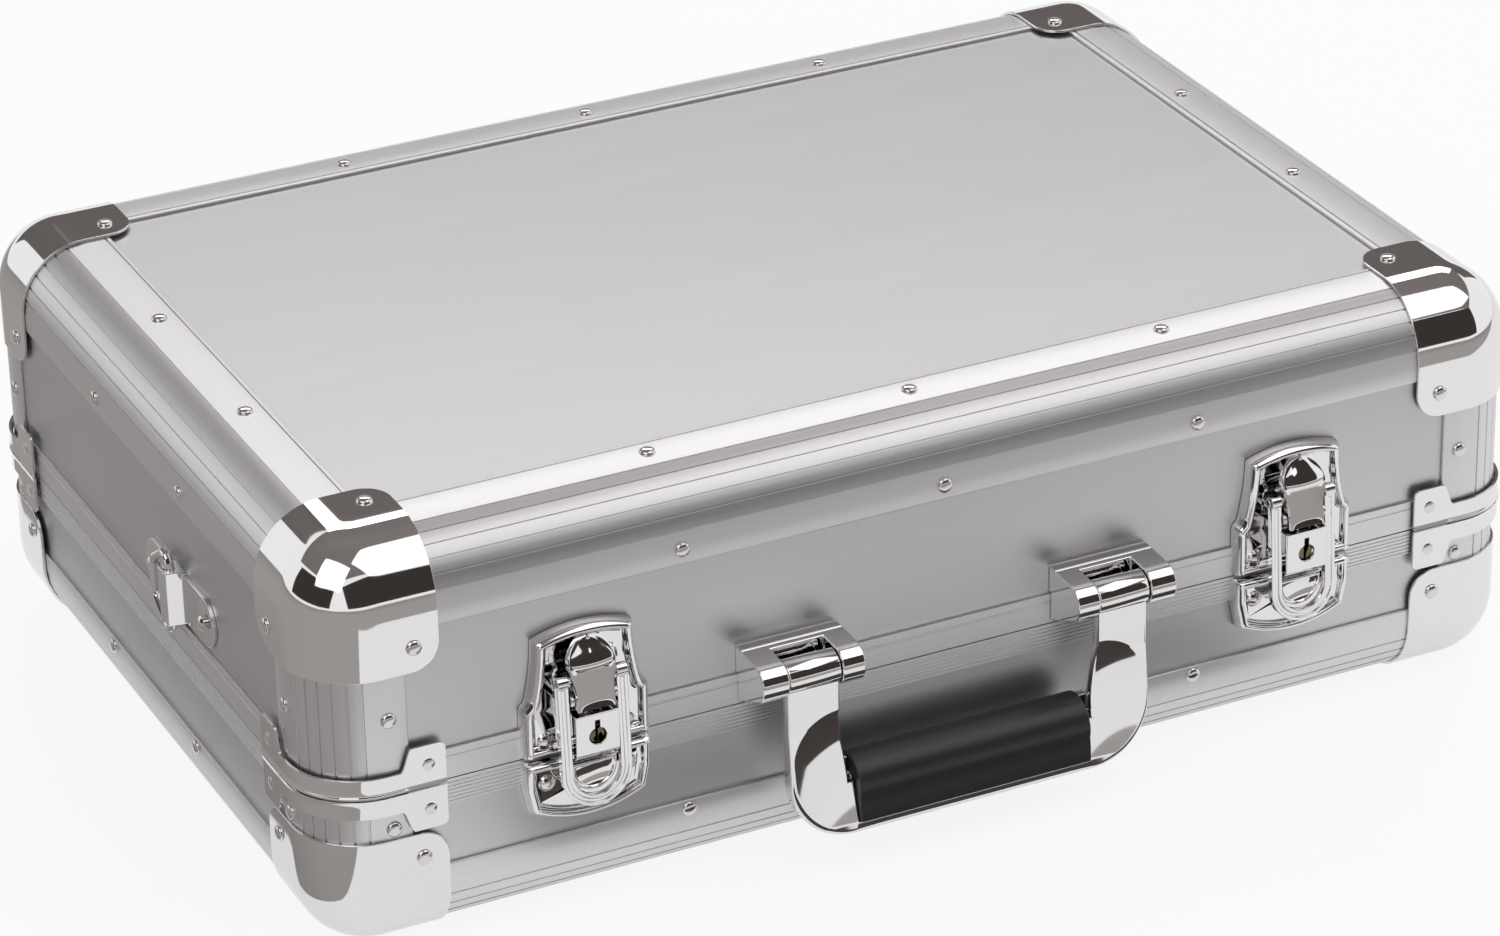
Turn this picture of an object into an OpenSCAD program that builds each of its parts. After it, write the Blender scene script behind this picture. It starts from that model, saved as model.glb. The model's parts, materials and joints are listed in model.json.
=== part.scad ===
// Hard record case: two panel shells in grooved aluminium edge profiles, with ball
// corners, draw latches with locks, a drop handle and a strap ring at each side.
// X runs along the front, the front faces -Y, Z is up. All sizes are in millimetres.

/* [Case] */
// Length between the outer planes of the edge profiles
case_w = 500; // [440:1:600]
// Depth between the outer planes of the edge profiles
case_d = 341; // [320:1:400]
// Height between the outer planes of the edge profiles
case_h = 163; // [155:1:200]
// Height of the split between base and lid above the lower outer plane
split_z = 67.5; // [65:0.5:72]
// Gap between the two closing frames
split_gap = 0.4; // [0.3:0.1:0.6]

/* [Panels and edge profiles] */
// Thickness of a panel
panel_t = 5; // [4:0.5:6]
// Gap between a panel and what holds it
panel_play = 0.1; // [0.05:0.05:0.2]
// Radius of the rounded edges
edge_r = 26; // [24:0.5:28]
// Thickness of a profile's walls
leg_t = 1.2; // [1:0.1:1.6]
// Reach of a profile on the lid's top and the base's underside
top_flange = 37; // [34:0.5:42]
// Reach of a profile on the upright sides
side_flange = 32.5; // [31.5:0.5:34]
// Reach of an upright corner post on each face
post_flange = 35.4; // [34:0.2:38]
// Number of fine grooves in a rounded edge
edge_grooves = 6; // [3:1:8]
// Width of a fine groove
groove_w = 0.7; // [0.4:0.1:1]
// Depth of a fine groove
groove_depth = 0.4; // [0.2:0.1:0.5]
// Distance of the trim groove from a top flange's free edge
trim_groove_in = 2.2; // [1.5:0.1:3.5]
// Half gap at a mitred profile end
mitre_gap = 0.1; // [0.05:0.05:0.3]

/* [Closing frames] */
// Visible height of the lid's closing frame
lid_frame_h = 12; // [10.5:0.5:14]
// Visible height of the base's closing frame
base_frame_h = 10; // [9:0.5:12]
// Height of the lid frame's web, which holds the groove
lid_web_h = 6; // [5.5:0.1:6.5]
// Height of the base frame's web, which carries the tongue
base_web_h = 4; // [3:0.5:5]
// Depth of the tongue behind the outer planes
tongue_in = 3.8; // [3.7:0.1:4.2]
// Thickness of the tongue
tongue_t = 1.2; // [1:0.1:1.4]
// Height of the tongue
tongue_h = 3; // [2.5:0.1:3.2]
// Clearance round the tongue
tongue_play = 0.7; // [0.6:0.1:0.8]
// Number of fine lines in the base's closing frame
frame_lines = 6; // [3:1:6]
// Spacing of those lines
frame_line_step = 1.5; // [1.2:0.1:1.5]

/* [Ball corners and braces] */
// Sheet thickness of a ball corner
cap_t = 1.2; // [1:0.1:1.6]
// Seating gap under a ball corner or a brace
cap_gap = 0.1; // [0.05:0.05:0.2]
// Reach of a ball corner on each face
cap_reach = 48.6; // [46:0.2:52]
// Radius of a ball corner's free corners
cap_free_r = 10; // [6:0.5:14]
// Sheet thickness of a corner brace
brace_t = 1; // [0.8:0.1:1.4]
// Height of a brace's band
brace_band_h = 7.8; // [6:0.2:9]
// Reach of a brace on each face
brace_reach = 48.5; // [46:0.5:52]
// Width of a brace's lobe
brace_lobe_w = 13; // [11:0.5:14]
// Height of a brace's lobe above the band
brace_lobe_h = 9; // [7:0.5:10]
// Radius of a brace's inside fillets
brace_fillet_r = 4; // [2:0.5:6]

/* [Rivets] */
// Radius of a small rivet's head
rivet_head_r = 3; // [2.5:0.1:3.5]
// Height of a small rivet's head
rivet_head_h = 1.5; // [1.2:0.1:2]
// Radius of a rivet's shank
rivet_shank_r = 1.8; // [1.4:0.1:2.2]
// Clearance between a shank and its hole
rivet_play = 0.1; // [0.05:0.05:0.2]
// Spacing of the rivets along a long edge
long_rivet_step = 106; // [90:1:120]
// Spacing of the rivets along a short edge
short_rivet_step = 88; // [70:1:100]
// Distance of the lid's edge rivets from the top plane
lid_rivet_in = 26.8; // [26:0.2:30]
// Distance of the base's edge rivets from the lower plane
base_rivet_in = 29; // [26:0.2:30]
// Distance of the top rivets from the side planes
top_rivet_in = 28; // [26:0.5:32]
// Distance of a post's rivets from the corner
post_rivet_in = 28.2; // [26:0.2:31]
// Distance of the lid posts' rivets from the top plane
lid_post_rivet = 66; // [60:0.5:70]
// Distance of the base posts' rivets from the lower plane
base_post_rivet = 52.6; // [52:0.2:54]
// Distance of a ball corner's rivets from the corner's planes
cap_rivet_in = 38.7; // [37:0.1:41]
// Distance of a brace's rivets from the corner
brace_rivet_in = 41.8; // [40:0.2:43]
// Distance of a brace's rivets from the split
brace_rivet_up = 9.1; // [8.8:0.1:9.8]

/* [Inside] */
// Thickness of the linings
lining_t = 3; // [2:0.5:4]
// Gap between a lining and the shell round it
lining_gap = 0.2; // [0.1:0.1:0.4]
// Distance of a lining's edge from the closing frame's face
lining_drop = 1; // [0.5:0.5:3]
// Number of rows that the base is divided into
row_count = 3; // [2:1:4]
// Thickness of a row divider
divider_t = 8; // [5:0.5:12]
// Height of a row divider
divider_h = 50; // [30:1:52]

/* [Hinges] */
// Distance of each hinge from the middle of the back
hinge_x = 150; // [130:1:165]
// Width of a hinge
hinge_w = 60; // [50:1:80]
// Distance of the hinge axis behind the back plane
hinge_out = 5; // [4.6:0.1:6]
// Radius of the hinge barrel
hinge_barrel_r = 4; // [3.6:0.1:4.4]
// Radius of the hinge pin
hinge_pin_r = 1.5; // [1.2:0.1:2]
// Thickness of a hinge leaf
hinge_leaf_t = 1.6; // [1.2:0.1:2]
// Height of a hinge leaf from the hinge axis
hinge_leaf_h = 27; // [24:0.5:32]
// Share of the hinge's width that the lid's knuckle takes
lid_knuckle_share = 0.4; // [0.3:0.05:0.5]

/* [Draw latches] */
// Distance of each latch from the middle of the front
latch_x = 147; // [130:1:160]
// Half width of a latch plate at the wall
latch_half_w = 25; // [24:0.5:27]
// Height of the lid's plate above the split
latch_plate_h = 51; // [50:0.5:53]
// Height of the keeper plate below the split
keeper_plate_h = 28; // [27:0.5:30]
// Height of a plate's rim in front of the closing frame
latch_rim_u = 5; // [4.5:0.1:5.4]
// Height of a plate's floor in front of the closing frame
latch_floor_u = 2; // [1.6:0.1:2.4]
// Width of a plate's rim
latch_rim_w = 1.4; // [1:0.1:2]
// Half width of the lock box
lock_half_w = 8.6; // [8.3:0.1:8.6]
// Top of the lock box above the split
lock_top = 19; // [18.6:0.1:19.1]
// Front of the lock box
lock_front_u = 13; // [12:0.1:13.4]
// Wall thickness of the lock box
lock_wall = 1; // [0.8:0.1:1.2]
// Height of the keyhole's centre above the split
key_up = 9.8; // [9.6:0.1:9.9]
// Radius of the keyhole
key_r = 3.3; // [2.5:0.1:3.6]
// Height of the lever's pivot above the split
lever_pivot_up = 24.5; // [24.3:0.1:24.8]
// Distance of the lever's pivot in front of the closing frame
lever_pivot_u = 9.5; // [9:0.1:10]
// Radius of the lever's pivot pin
latch_pin_r = 1; // [0.9:0.05:1.1]
// Height of the bail's pin above the split
bail_pin_up = 32; // [31:0.5:33]
// Distance of the bail's pin in front of the closing frame
bail_pin_u = 8; // [7.8:0.1:8.4]
// Radius of the keeper's half-round boss
boss_r = 9; // [8.8:0.1:9.1]
// Front of the keeper's boss
boss_front_u = 9; // [8:0.1:9.2]
// Depth of the bail's lowest point below the split
bail_drop = 19.3; // [19:0.1:20]
// Gap between the bail and the keeper's boss
bail_gap = 0.4; // [0.35:0.05:0.5]
// Width of the bail's band seen from the front
bail_band_w = 4.4; // [4:0.1:4.6]
// Thickness of the bail's band
bail_band_t = 3; // [2.6:0.1:3.2]

/* [Drop handle] */
// Distance of each handle bracket from the middle of the front
bracket_x = 64; // [60:0.5:70]
// Height of the handle's pivot above the split
handle_pivot_up = 15.5; // [15:0.5:18]
// Distance of the handle's pivot in front of the front plane
handle_pivot_u = 15; // [14.5:0.1:16]
// Radius of a handle knuckle
knuckle_r = 6.5; // [6:0.1:6.8]
// Radius of a bracket's rounded nose
bracket_nose_r = 7.3; // [7:0.1:8]
// Width of the window for the handle's knuckle
window_w = 21.4; // [20:0.2:23]
// Thickness of a bracket's cheek on the inner side
cheek_in_w = 9.3; // [8:0.1:10]
// Thickness of a bracket's cheek on the outer side
cheek_out_w = 10.8; // [9:0.1:12]
// Gap at each side of a handle knuckle
knuckle_gap = 0.35; // [0.2:0.05:0.5]
// Radius of the handle's pins
handle_pin_r = 2.5; // [2:0.1:3]
// Half width of the handle's opening at the grip
handle_open_half_w = 50.6; // [48:0.2:52]
// Depth of the handle frame's lowest edge below the pivot
handle_drop = 68.5; // [64:0.5:72]
// Radius of the frame's lower corners
handle_corner_r = 25; // [18:0.5:30]
// Height of the bar under the grip
handle_bar_h = 5; // [4:0.2:7]
// Thickness of a handle arm
arm_t = 5.2; // [4:0.1:6]
// Distance from the front plane to the front of the handle's lower edge
handle_front_u = 25.5; // [24:0.1:27]
// Radius of the grip
grip_r = 11; // [10:0.1:11.5]
// Radius of the dished hollow in each arm
dish_r = 20; // [16:0.5:22]
// Depth of the dished hollow
dish_depth = 2.6; // [1.5:0.1:3]

/* [Strap rings] */
// Length of an anchor plate
anchor_len = 70; // [64:1:76]
// Width of an anchor plate
anchor_w = 20; // [18:0.5:22]
// Thickness of an anchor plate
anchor_t = 1.6; // [1.2:0.1:2]
// Place of an anchor along the side, counted towards the front
anchor_y = 38; // [30:1:45]
// Height of an anchor above the split
anchor_up = 24.5; // [23:0.5:27]
// Radius of the ring's wire
ring_wire_r = 1.8; // [1.6:0.1:2]
// Length of the ring's straight side
ring_side = 38; // [34:0.5:42]
// Reach of the ring's bend from its straight side
ring_reach = 17; // [15:0.5:22]
// Distance of the ring's straight side in front of the side plane
ring_u = 3.4; // [3.2:0.1:3.6]

/* [Hidden] */
$fn = 64;
// One overrun for every cut
overrun = 1;

// Wall of a closed shell: outer leg, panel with its play, inner leg
wall_t = 2 * (leg_t + panel_play) + panel_t;
panel_in = leg_t + panel_play;
web_end = edge_r + leg_t;
panel_start = web_end + panel_play;
cap_out = cap_gap + cap_t;
brace_out = cap_gap + brace_t;
lining_in = wall_t + lining_gap + lining_t;
rivet_hole_r = rivet_shank_r + rivet_play;
// Shares of the rounded edge between which the fine grooves lie
groove_first_share = 0.17;
groove_last_share = 0.83;
// Gap between a post's skin and the closing frame's web behind it
skin_gap = 0.2;
// Gap round a row divider
divider_gap = 0.2;
// Radius of the small corners of a brace
brace_corner_r = 2.6;

// Heights are counted from each shell's outer plane: the base's underside, the lid's top
function shell_h(upper) = upper ? case_h - split_z : split_z;
function mate_h(upper) = shell_h(upper) - split_gap / 2;
function frame_h(upper) = upper ? lid_frame_h : base_frame_h;
function web_h(upper) = upper ? lid_web_h : base_web_h;
function web_h_start(upper) = mate_h(upper) - web_h(upper);

// Sides are numbered 0 front, 1 right, 2 back, 3 left
function half_out(k) = (k % 2 == 0 ? case_d : case_w) / 2;
function half_len(k) = (k % 2 == 0 ? case_w : case_d) / 2;

// Rivet places on a side: distance along it and height from the shell's outer plane
function edge_rivets(k, upper) =
    [for (s = k % 2 == 0 ? [-long_rivet_step, 0, long_rivet_step]
                         : [-short_rivet_step / 2, short_rivet_step / 2])
        [s, upper ? lid_rivet_in : base_rivet_in]];
function corner_pair(k, in, h) = [for (e = [-1, 1]) [e * (half_len(k) - in), h]];
function post_rivets(k, upper) =
    corner_pair(k, post_rivet_in, upper ? lid_post_rivet : base_post_rivet);
function cap_rivets(k) = corner_pair(k, cap_rivet_in, cap_rivet_in);
function brace_rivets(k, upper) =
    corner_pair(k, brace_rivet_in, shell_h(upper) - brace_rivet_up);
// Rivet places on the top or the underside, X and Y
face_edge_rivets = concat(
    [for (p = edge_rivets(0, true), e = [-1, 1]) [p[0], e * (case_d / 2 - top_rivet_in)]],
    [for (p = edge_rivets(1, true), e = [-1, 1]) [e * (case_w / 2 - top_rivet_in), p[0]]]);
face_cap_rivets = [for (ex = [-1, 1], ey = [-1, 1])
    [ex * (case_w / 2 - cap_rivet_in), ey * (case_d / 2 - cap_rivet_in)]];

// Stands the case on its lower ball corners, with the box's middle at the origin
module placed() {
    translate([0, y_shift, cap_out]) children();
}

// Z counted from a shell's outer plane inwards
module level(upper) {
    translate([0, 0, upper ? case_h : 0]) mirror([0, 0, upper ? 1 : 0]) children();
}

// X along a side, Y up from the outer plane, Z outwards
module on_side(k) {
    rotate([0, 0, 90 * k]) translate([0, -half_out(k), 0]) rotate([90, 0, 0]) children();
}

// Z outwards from the top or the underside
module on_face() {
    mirror([0, 0, 1]) children();
}

// X and Y inwards from the upright outer planes at each corner
module at_corners() {
    for (ex = [-1, 1], ey = [-1, 1])
        translate([ex * case_w / 2, ey * case_d / 2, 0])
            mirror([ex > 0 ? 1 : 0, 0, 0]) mirror([0, ey > 0 ? 1 : 0, 0]) children();
}

// Holes for rivets through the shell's wall and what lies on it
module drill(sites, out = overrun) {
    for (p = sites)
        translate([p[0], p[1], -wall_t - overrun])
            cylinder(h = wall_t + overrun + out, r = rivet_hole_r);
}

// Domed rivets whose heads seat at a given height before the outer plane
module rivets(sites, seat, head_r = rivet_head_r, head_h = rivet_head_h) {
    dome_r = (head_r * head_r + head_h * head_h) / (2 * head_h);
    for (p = sites)
        translate([p[0], p[1], seat]) {
            intersection() {
                translate([0, 0, head_h - dome_r]) sphere(r = dome_r);
                cylinder(h = head_h + overrun, r = head_r + overrun);
            }
            translate([0, 0, -seat - wall_t])
                cylinder(h = seat + wall_t + head_h / 2, r = rivet_shank_r);
        }
}

// Rivets ground flush, where the case stands on its lower ball corners
module flush_rivets(sites, seat) {
    for (p = sites)
        translate([p[0], p[1], -wall_t]) cylinder(h = seat + wall_t, r = rivet_shank_r);
}

module quarter_ring(r_out, r_in) {
    difference() {
        intersection() {
            circle(r = r_out);
            translate([-r_out, -r_out]) square(r_out);
        }
        circle(r = r_in);
    }
}

// Section of an edge profile. X is the depth from the upright plane, Y from the other one.
module profile_section(flange_x, flange_y, hollow = true) {
    depth = hollow ? wall_t : leg_t;
    difference() {
        union() {
            translate([edge_r, edge_r]) quarter_ring(edge_r, edge_r - depth);
            translate([edge_r, 0]) square([flange_x - edge_r, depth]);
            translate([0, edge_r]) square([depth, flange_y - edge_r]);
        }
        if (hollow) {
            translate([edge_r, edge_r]) quarter_ring(edge_r - leg_t, edge_r - wall_t + leg_t);
            translate([web_end, leg_t])
                square([flange_x - web_end + overrun, wall_t - 2 * leg_t]);
            translate([leg_t, web_end])
                square([wall_t - 2 * leg_t, flange_y - web_end + overrun]);
        }
        for (i = [0 : edge_grooves - 1]) {
            share = groove_first_share
                + (groove_last_share - groove_first_share) * i / (edge_grooves - 1);
            translate([edge_r, edge_r]) rotate(180 + 90 * share)
                translate([edge_r - groove_depth, -groove_w / 2])
                    square([groove_depth + overrun, groove_w]);
        }
    }
}

// Half outline of a mitred end: the profile stops short of the corner by its own depth
function mitre_half(len, reach) = [
    [len / 2 - edge_r - mitre_gap, -overrun],
    [len / 2 - edge_r - mitre_gap, edge_r],
    [len / 2 - reach - overrun - mitre_gap, reach + overrun]];
function mirrored_outline(pts) = concat(pts,
    [for (i = [len(pts) - 1 : -1 : 0]) if (pts[i][0] > 0) [-pts[i][0], pts[i][1]]]);

// Edge profile along side k, with the mitres at both ends
module edge(k, upper) {
    len = 2 * half_len(k);
    color("lightsteelblue") placed() level(upper) difference() {
        rotate([0, 0, 90 * k]) translate([0, -half_out(k), 0]) intersection() {
            rotate([90, 0, 90]) linear_extrude(len, center = true) difference() {
                profile_section(top_flange, side_flange);
                translate([top_flange - trim_groove_in, -overrun])
                    square([groove_w, groove_depth + overrun]);
            }
            translate([0, 0, -overrun]) linear_extrude(side_flange + 2 * overrun)
                polygon(mirrored_outline(mitre_half(len, top_flange)));
            translate([0, top_flange + overrun, 0]) rotate([90, 0, 0])
                linear_extrude(top_flange + 2 * overrun)
                    polygon(mirrored_outline(mitre_half(len, side_flange)));
        }
        on_side(k) drill(edge_rivets(k, upper));
        on_face() drill(concat(face_edge_rivets, face_cap_rivets));
    }
}

// Upright corner profiles. Below the closing frame's web only their outer skin goes on.
module corner_posts(upper) {
    reach = post_flange + overrun;
    color("lightsteelblue") placed() level(upper) difference() {
        at_corners() intersection() {
            union() {
                linear_extrude(web_h_start(upper) - panel_play)
                    profile_section(post_flange, post_flange);
                translate([0, 0, web_h_start(upper) - panel_play])
                    linear_extrude(web_h(upper) + panel_play)
                        profile_section(post_flange, post_flange, false);
            }
            post_mitre(reach, mate_h(upper));
            mirror([1, -1, 0]) post_mitre(reach, mate_h(upper));
        }
        for (k = [0 : 3]) on_side(k) drill(post_rivets(k, upper));
    }
}

module post_mitre(reach, top) {
    translate([0, reach, 0]) rotate([90, 0, 0]) linear_extrude(reach + overrun)
        polygon([[-overrun, edge_r + mitre_gap], [edge_r, edge_r + mitre_gap],
            [reach, reach + mitre_gap], [reach, top], [-overrun, top]]);
}

// Rivet places of the fittings on each side, worked out from the fittings' own sizes
function latch_sites(upper) = [for (e = [-1, 1], f = [-1, 1])
    [e * latch_x + f * latch_rivet_x, shell_h(upper) - (upper ? plate_rivet_up : keeper_rivet_down)]];
function hinge_sites(upper) = [for (e = [-1, 1], f = [-1, 0, 1])
    [e * hinge_x + f * (hinge_w / 2 - hinge_rivet_in), shell_h(upper) - hinge_rivet_up]];
function anchor_sites(k) = [for (f = [-1, 1])
    [(k == 1 ? -anchor_y : anchor_y) + f * anchor_rivet_half, shell_h(true) - anchor_up]];
function bracket_sites() = [for (e = [-1, 1], f = [-1, 1])
    [e * bracket_x + f * bracket_stud_x, shell_h(true) - bracket_stud_up]];
function fitting_sites(k, upper) =
    k == 0 ? concat(latch_sites(upper), upper ? bracket_sites() : [])
    : k == 2 ? hinge_sites(upper)
    : upper ? anchor_sites(k) : [];

module side_panel(k, upper) {
    len = 2 * (half_len(k) - panel_start);
    color("silver") placed() level(upper) on_side(k) difference() {
        translate([-len / 2, panel_start, -panel_in - panel_t])
            cube([len, web_h_start(upper) - panel_play - panel_start, panel_t]);
        drill(concat(edge_rivets(k, upper), post_rivets(k, upper), cap_rivets(k),
            brace_rivets(k, upper), fitting_sites(k, upper)));
    }
}

module face_panel(upper) {
    color("silver") placed() level(upper) on_face() difference() {
        translate([panel_start - case_w / 2, panel_start - case_d / 2, -panel_in - panel_t])
            cube([case_w - 2 * panel_start, case_d - 2 * panel_start, panel_t]);
        drill(concat(face_edge_rivets, face_cap_rivets));
    }
}

// Plan outline of the case, moved inwards by a depth
module plan(inset) {
    half_x = case_w / 2 - edge_r;
    half_y = case_d / 2 - edge_r;
    for (ex = [-1, 1], ey = [-1, 1])
        translate([ex * half_x, ey * half_y]) circle(r = edge_r - inset);
    square([case_w - 2 * inset, 2 * half_y], center = true);
    square([2 * half_x, case_d - 2 * inset], center = true);
}

module plan_ring(inset, width) {
    difference() {
        plan(inset);
        plan(inset + width);
    }
}

// Closing frame: a bent ring whose straight sides hold the panels in a channel
module closing_frame(upper) {
    top = mate_h(upper);
    color("gainsboro") placed() level(upper) difference() {
        union() {
            translate([0, 0, top - web_h(upper)]) linear_extrude(web_h(upper))
                plan_ring(leg_t + skin_gap, wall_t - leg_t - skin_gap);
            for (k = [0 : 3]) on_side(k) {
                len = 2 * (half_len(k) - post_flange - panel_play);
                translate([-len / 2, top - web_h(upper), -wall_t])
                    cube([len, web_h(upper), wall_t]);
                for (z = [-leg_t, -wall_t])
                    translate([-len / 2, top - frame_h(upper), z])
                        cube([len, frame_h(upper), leg_t]);
            }
            if (!upper) translate([0, 0, top - web_h(upper) / 2])
                linear_extrude(web_h(upper) / 2 + split_gap + tongue_h)
                    plan_ring(tongue_in, tongue_t);
        }
        if (upper) translate([0, 0, top - tongue_h - tongue_play])
            linear_extrude(tongue_h + tongue_play + overrun)
                plan_ring(tongue_in - tongue_play, tongue_t + 2 * tongue_play);
        for (k = [0 : 3]) on_side(k) {
            drill(concat(brace_rivets(k, upper), fitting_sites(k, upper)));
            frame_grooves(k, upper);
        }
    }
}

// Fine lines along the closing frame's visible leg
module frame_grooves(k, upper) {
    len = 2 * half_len(k);
    lines = upper ? [lid_step_up] : [for (i = [1 : frame_lines]) i * frame_line_step];
    for (v = lines)
        translate([-len / 2, mate_h(upper) - v - frame_line_w / 2, -frame_line_depth])
            cube([len, frame_line_w, frame_line_depth + overrun]);
}
frame_line_w = 0.5;
frame_line_depth = 0.3;
// Height of the lid frame's single step line above the split
lid_step_up = 9;

// Solid of the inside of a shell up to a height, moved inwards by a depth
module inner_box(inset, top) {
    r = edge_r - inset;
    half_x = case_w / 2 - edge_r;
    half_y = case_d / 2 - edge_r;
    for (ex = [-1, 1], ey = [-1, 1])
        translate([ex * half_x, ey * half_y, edge_r]) {
            sphere(r = r);
            cylinder(h = top - edge_r, r = r);
        }
    for (ey = [-1, 1])
        translate([-half_x, ey * half_y, edge_r]) rotate([0, 90, 0])
            cylinder(h = 2 * half_x, r = r);
    for (ex = [-1, 1])
        translate([ex * half_x, half_y, edge_r]) rotate([90, 0, 0])
            cylinder(h = 2 * half_y, r = r);
    translate([-half_x, -half_y, inset]) cube([2 * half_x, 2 * half_y, top - inset]);
    translate([inset - case_w / 2, -half_y, edge_r])
        cube([case_w - 2 * inset, 2 * half_y, top - edge_r]);
    translate([-half_x, inset - case_d / 2, edge_r])
        cube([2 * half_x, case_d - 2 * inset, top - edge_r]);
}

module lining(upper) {
    color("#222222") placed() level(upper) difference() {
        inner_box(wall_t + lining_gap, mate_h(upper) - lining_drop);
        inner_box(lining_in, mate_h(upper) + overrun);
    }
}

module row_dividers() {
    inner_w = case_w - 2 * lining_in;
    color("#333333") placed() intersection() {
        for (i = [1 : row_count - 1])
            translate([inner_w * (i / row_count - 1 / 2) - divider_t / 2, -case_d / 2, 0])
                cube([divider_t, case_d, lining_in + divider_gap + divider_h]);
        inner_box(lining_in + divider_gap, mate_h(false));
    }
}

// Rounded corner of the whole case, moved outwards, solid inside
module corner_body(out) {
    reach = cap_reach + overrun;
    r = edge_r + out;
    translate([edge_r, edge_r, edge_r]) {
        sphere(r = r);
        cylinder(h = reach - edge_r, r = r);
        rotate([0, 90, 0]) cylinder(h = reach - edge_r, r = r);
        rotate([-90, 0, 0]) cylinder(h = reach - edge_r, r = r);
    }
    flat = reach - edge_r;
    translate([-out, edge_r, edge_r]) cube([reach + out, flat, flat]);
    translate([edge_r, -out, edge_r]) cube([flat, reach + out, flat]);
    translate([edge_r, edge_r, -out]) cube([flat, flat, reach + out]);
}

// Outline that a ball corner covers on one face
module cap_outline() {
    start = -cap_out - overrun;
    translate([start, start]) square([cap_reach - start, cap_reach - cap_free_r - start]);
    translate([start, start]) square([cap_reach - cap_free_r - start, cap_reach - start]);
    translate([cap_reach - cap_free_r, cap_reach - cap_free_r]) circle(r = cap_free_r);
}

module cap_prism() {
    translate([0, 0, -cap_out - overrun])
        linear_extrude(cap_reach + cap_out + 2 * overrun) cap_outline();
}

module ball_corner() {
    difference() {
        intersection() {
            corner_body(cap_out);
            cap_prism();
            rotate([0, 90, 0]) mirror([1, 0, 0]) cap_prism();
            rotate([-90, 0, 0]) mirror([0, 1, 0]) cap_prism();
        }
        corner_body(cap_gap);
    }
}

module ball_corners(upper) {
    color("gainsboro") placed() level(upper) difference() {
        at_corners() ball_corner();
        for (k = [0 : 3]) on_side(k) drill(cap_rivets(k), cap_out + overrun);
        on_face() drill(face_cap_rivets, cap_out + overrun);
    }
}

// Flat of a corner brace: X from the corner, Y from the split
module brace_outline() {
    lobe_x = brace_reach - brace_lobe_w;
    lobe_top = brace_band_h + brace_lobe_h;
    translate([edge_r, 0]) square([brace_reach - edge_r, brace_band_h]);
    translate([lobe_x, 0]) square([brace_lobe_w, lobe_top - brace_corner_r]);
    translate([lobe_x + brace_corner_r, 0])
        square([brace_lobe_w - 2 * brace_corner_r, lobe_top]);
    for (x = [lobe_x + brace_corner_r, brace_reach - brace_corner_r])
        translate([x, lobe_top - brace_corner_r]) circle(r = brace_corner_r);
    difference() {
        translate([lobe_x - brace_fillet_r, brace_band_h]) square(brace_fillet_r);
        translate([lobe_x - brace_fillet_r, brace_band_h + brace_fillet_r])
            circle(r = brace_fillet_r);
    }
}

module brace_flat(upper) {
    translate([0, -cap_gap, mate_h(upper)]) mirror([0, 0, 1]) rotate([90, 0, 0])
        linear_extrude(brace_t) brace_outline();
}

module corner_braces(upper) {
    color("gainsboro") placed() level(upper) difference() {
        at_corners() {
            translate([edge_r, edge_r, mate_h(upper) - brace_band_h])
                linear_extrude(brace_band_h)
                    quarter_ring(edge_r + brace_out, edge_r + cap_gap);
            brace_flat(upper);
            mirror([1, -1, 0]) brace_flat(upper);
        }
        for (k = [0 : 3]) on_side(k) drill(brace_rivets(k, upper), brace_out + overrun);
    }
}

module panel_rivets(upper) {
    color("white") placed() level(upper) {
        for (k = [0 : 3]) on_side(k) rivets(concat(edge_rivets(k, upper), post_rivets(k, upper)), 0);
        on_face() rivets(face_edge_rivets, 0, rivet_head_r, upper ? rivet_head_h : cap_t);
    }
}

module corner_rivets(upper) {
    color("white") placed() level(upper) {
        for (k = [0 : 3]) on_side(k) {
            rivets(cap_rivets(k), cap_out);
            rivets(brace_rivets(k, upper), brace_out);
        }
        on_face() {
            if (upper) rivets(face_cap_rivets, cap_out);
            else flush_rivets(face_cap_rivets, cap_out);
        }
    }
}

module fitting_rivets(upper) {
    color("white") placed() level(upper) {
        on_side(0) rivets(latch_sites(upper), latch_floor_u, latch_head_r, latch_head_h);
        on_side(2) rivets(hinge_sites(upper), hinge_leaf_t);
        if (upper) for (k = [1, 3]) on_side(k) rivets(anchor_sites(k), anchor_t);
    }
}

// Hinge sizes that follow from the barrel and the leaf
hinge_play = 0.05;
hinge_gap = 0.3;
hinge_rivet_in = 9;
hinge_rivet_up = 16.5;
hinge_max = 100;
stop_bar_t = 2;
stop_bar_down = 2;
hinge_stop_in = hinge_barrel_r + hinge_gap;
hinge_stop_out = hinge_stop_in + stop_bar_t;
lid_knuckle_w = hinge_w * lid_knuckle_share;
base_knuckle_w = (hinge_w - lid_knuckle_w) / 2 - hinge_gap;
hinge_leaf_from = sqrt(max(split_gap * split_gap,
    pow(hinge_barrel_r + hinge_gap, 2) - pow(hinge_out - hinge_leaf_t, 2)));
// Where the open lid's leaf comes down on the stop bar
leaf_off_axis = hinge_out - hinge_leaf_t;
stop_up = leaf_off_axis * sin(hinge_max) - hinge_gap
    + cos(hinge_max) * (leaf_off_axis * cos(hinge_max) + hinge_stop_out) / sin(hinge_max);

// The box's middle lies between the handle's front and the hinges' back
hinge_reach = hinge_out + hinge_stop_out;
y_shift = (handle_front_u - hinge_reach) / 2;

// X along the side from a place on it, Y up from the split, Z outwards
module at_split(k, s) {
    on_side(k) translate([s, split_z, 0]) children();
}

module bar_x(len, r) {
    rotate([0, 90, 0]) cylinder(h = len, r = r, center = true);
}

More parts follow.
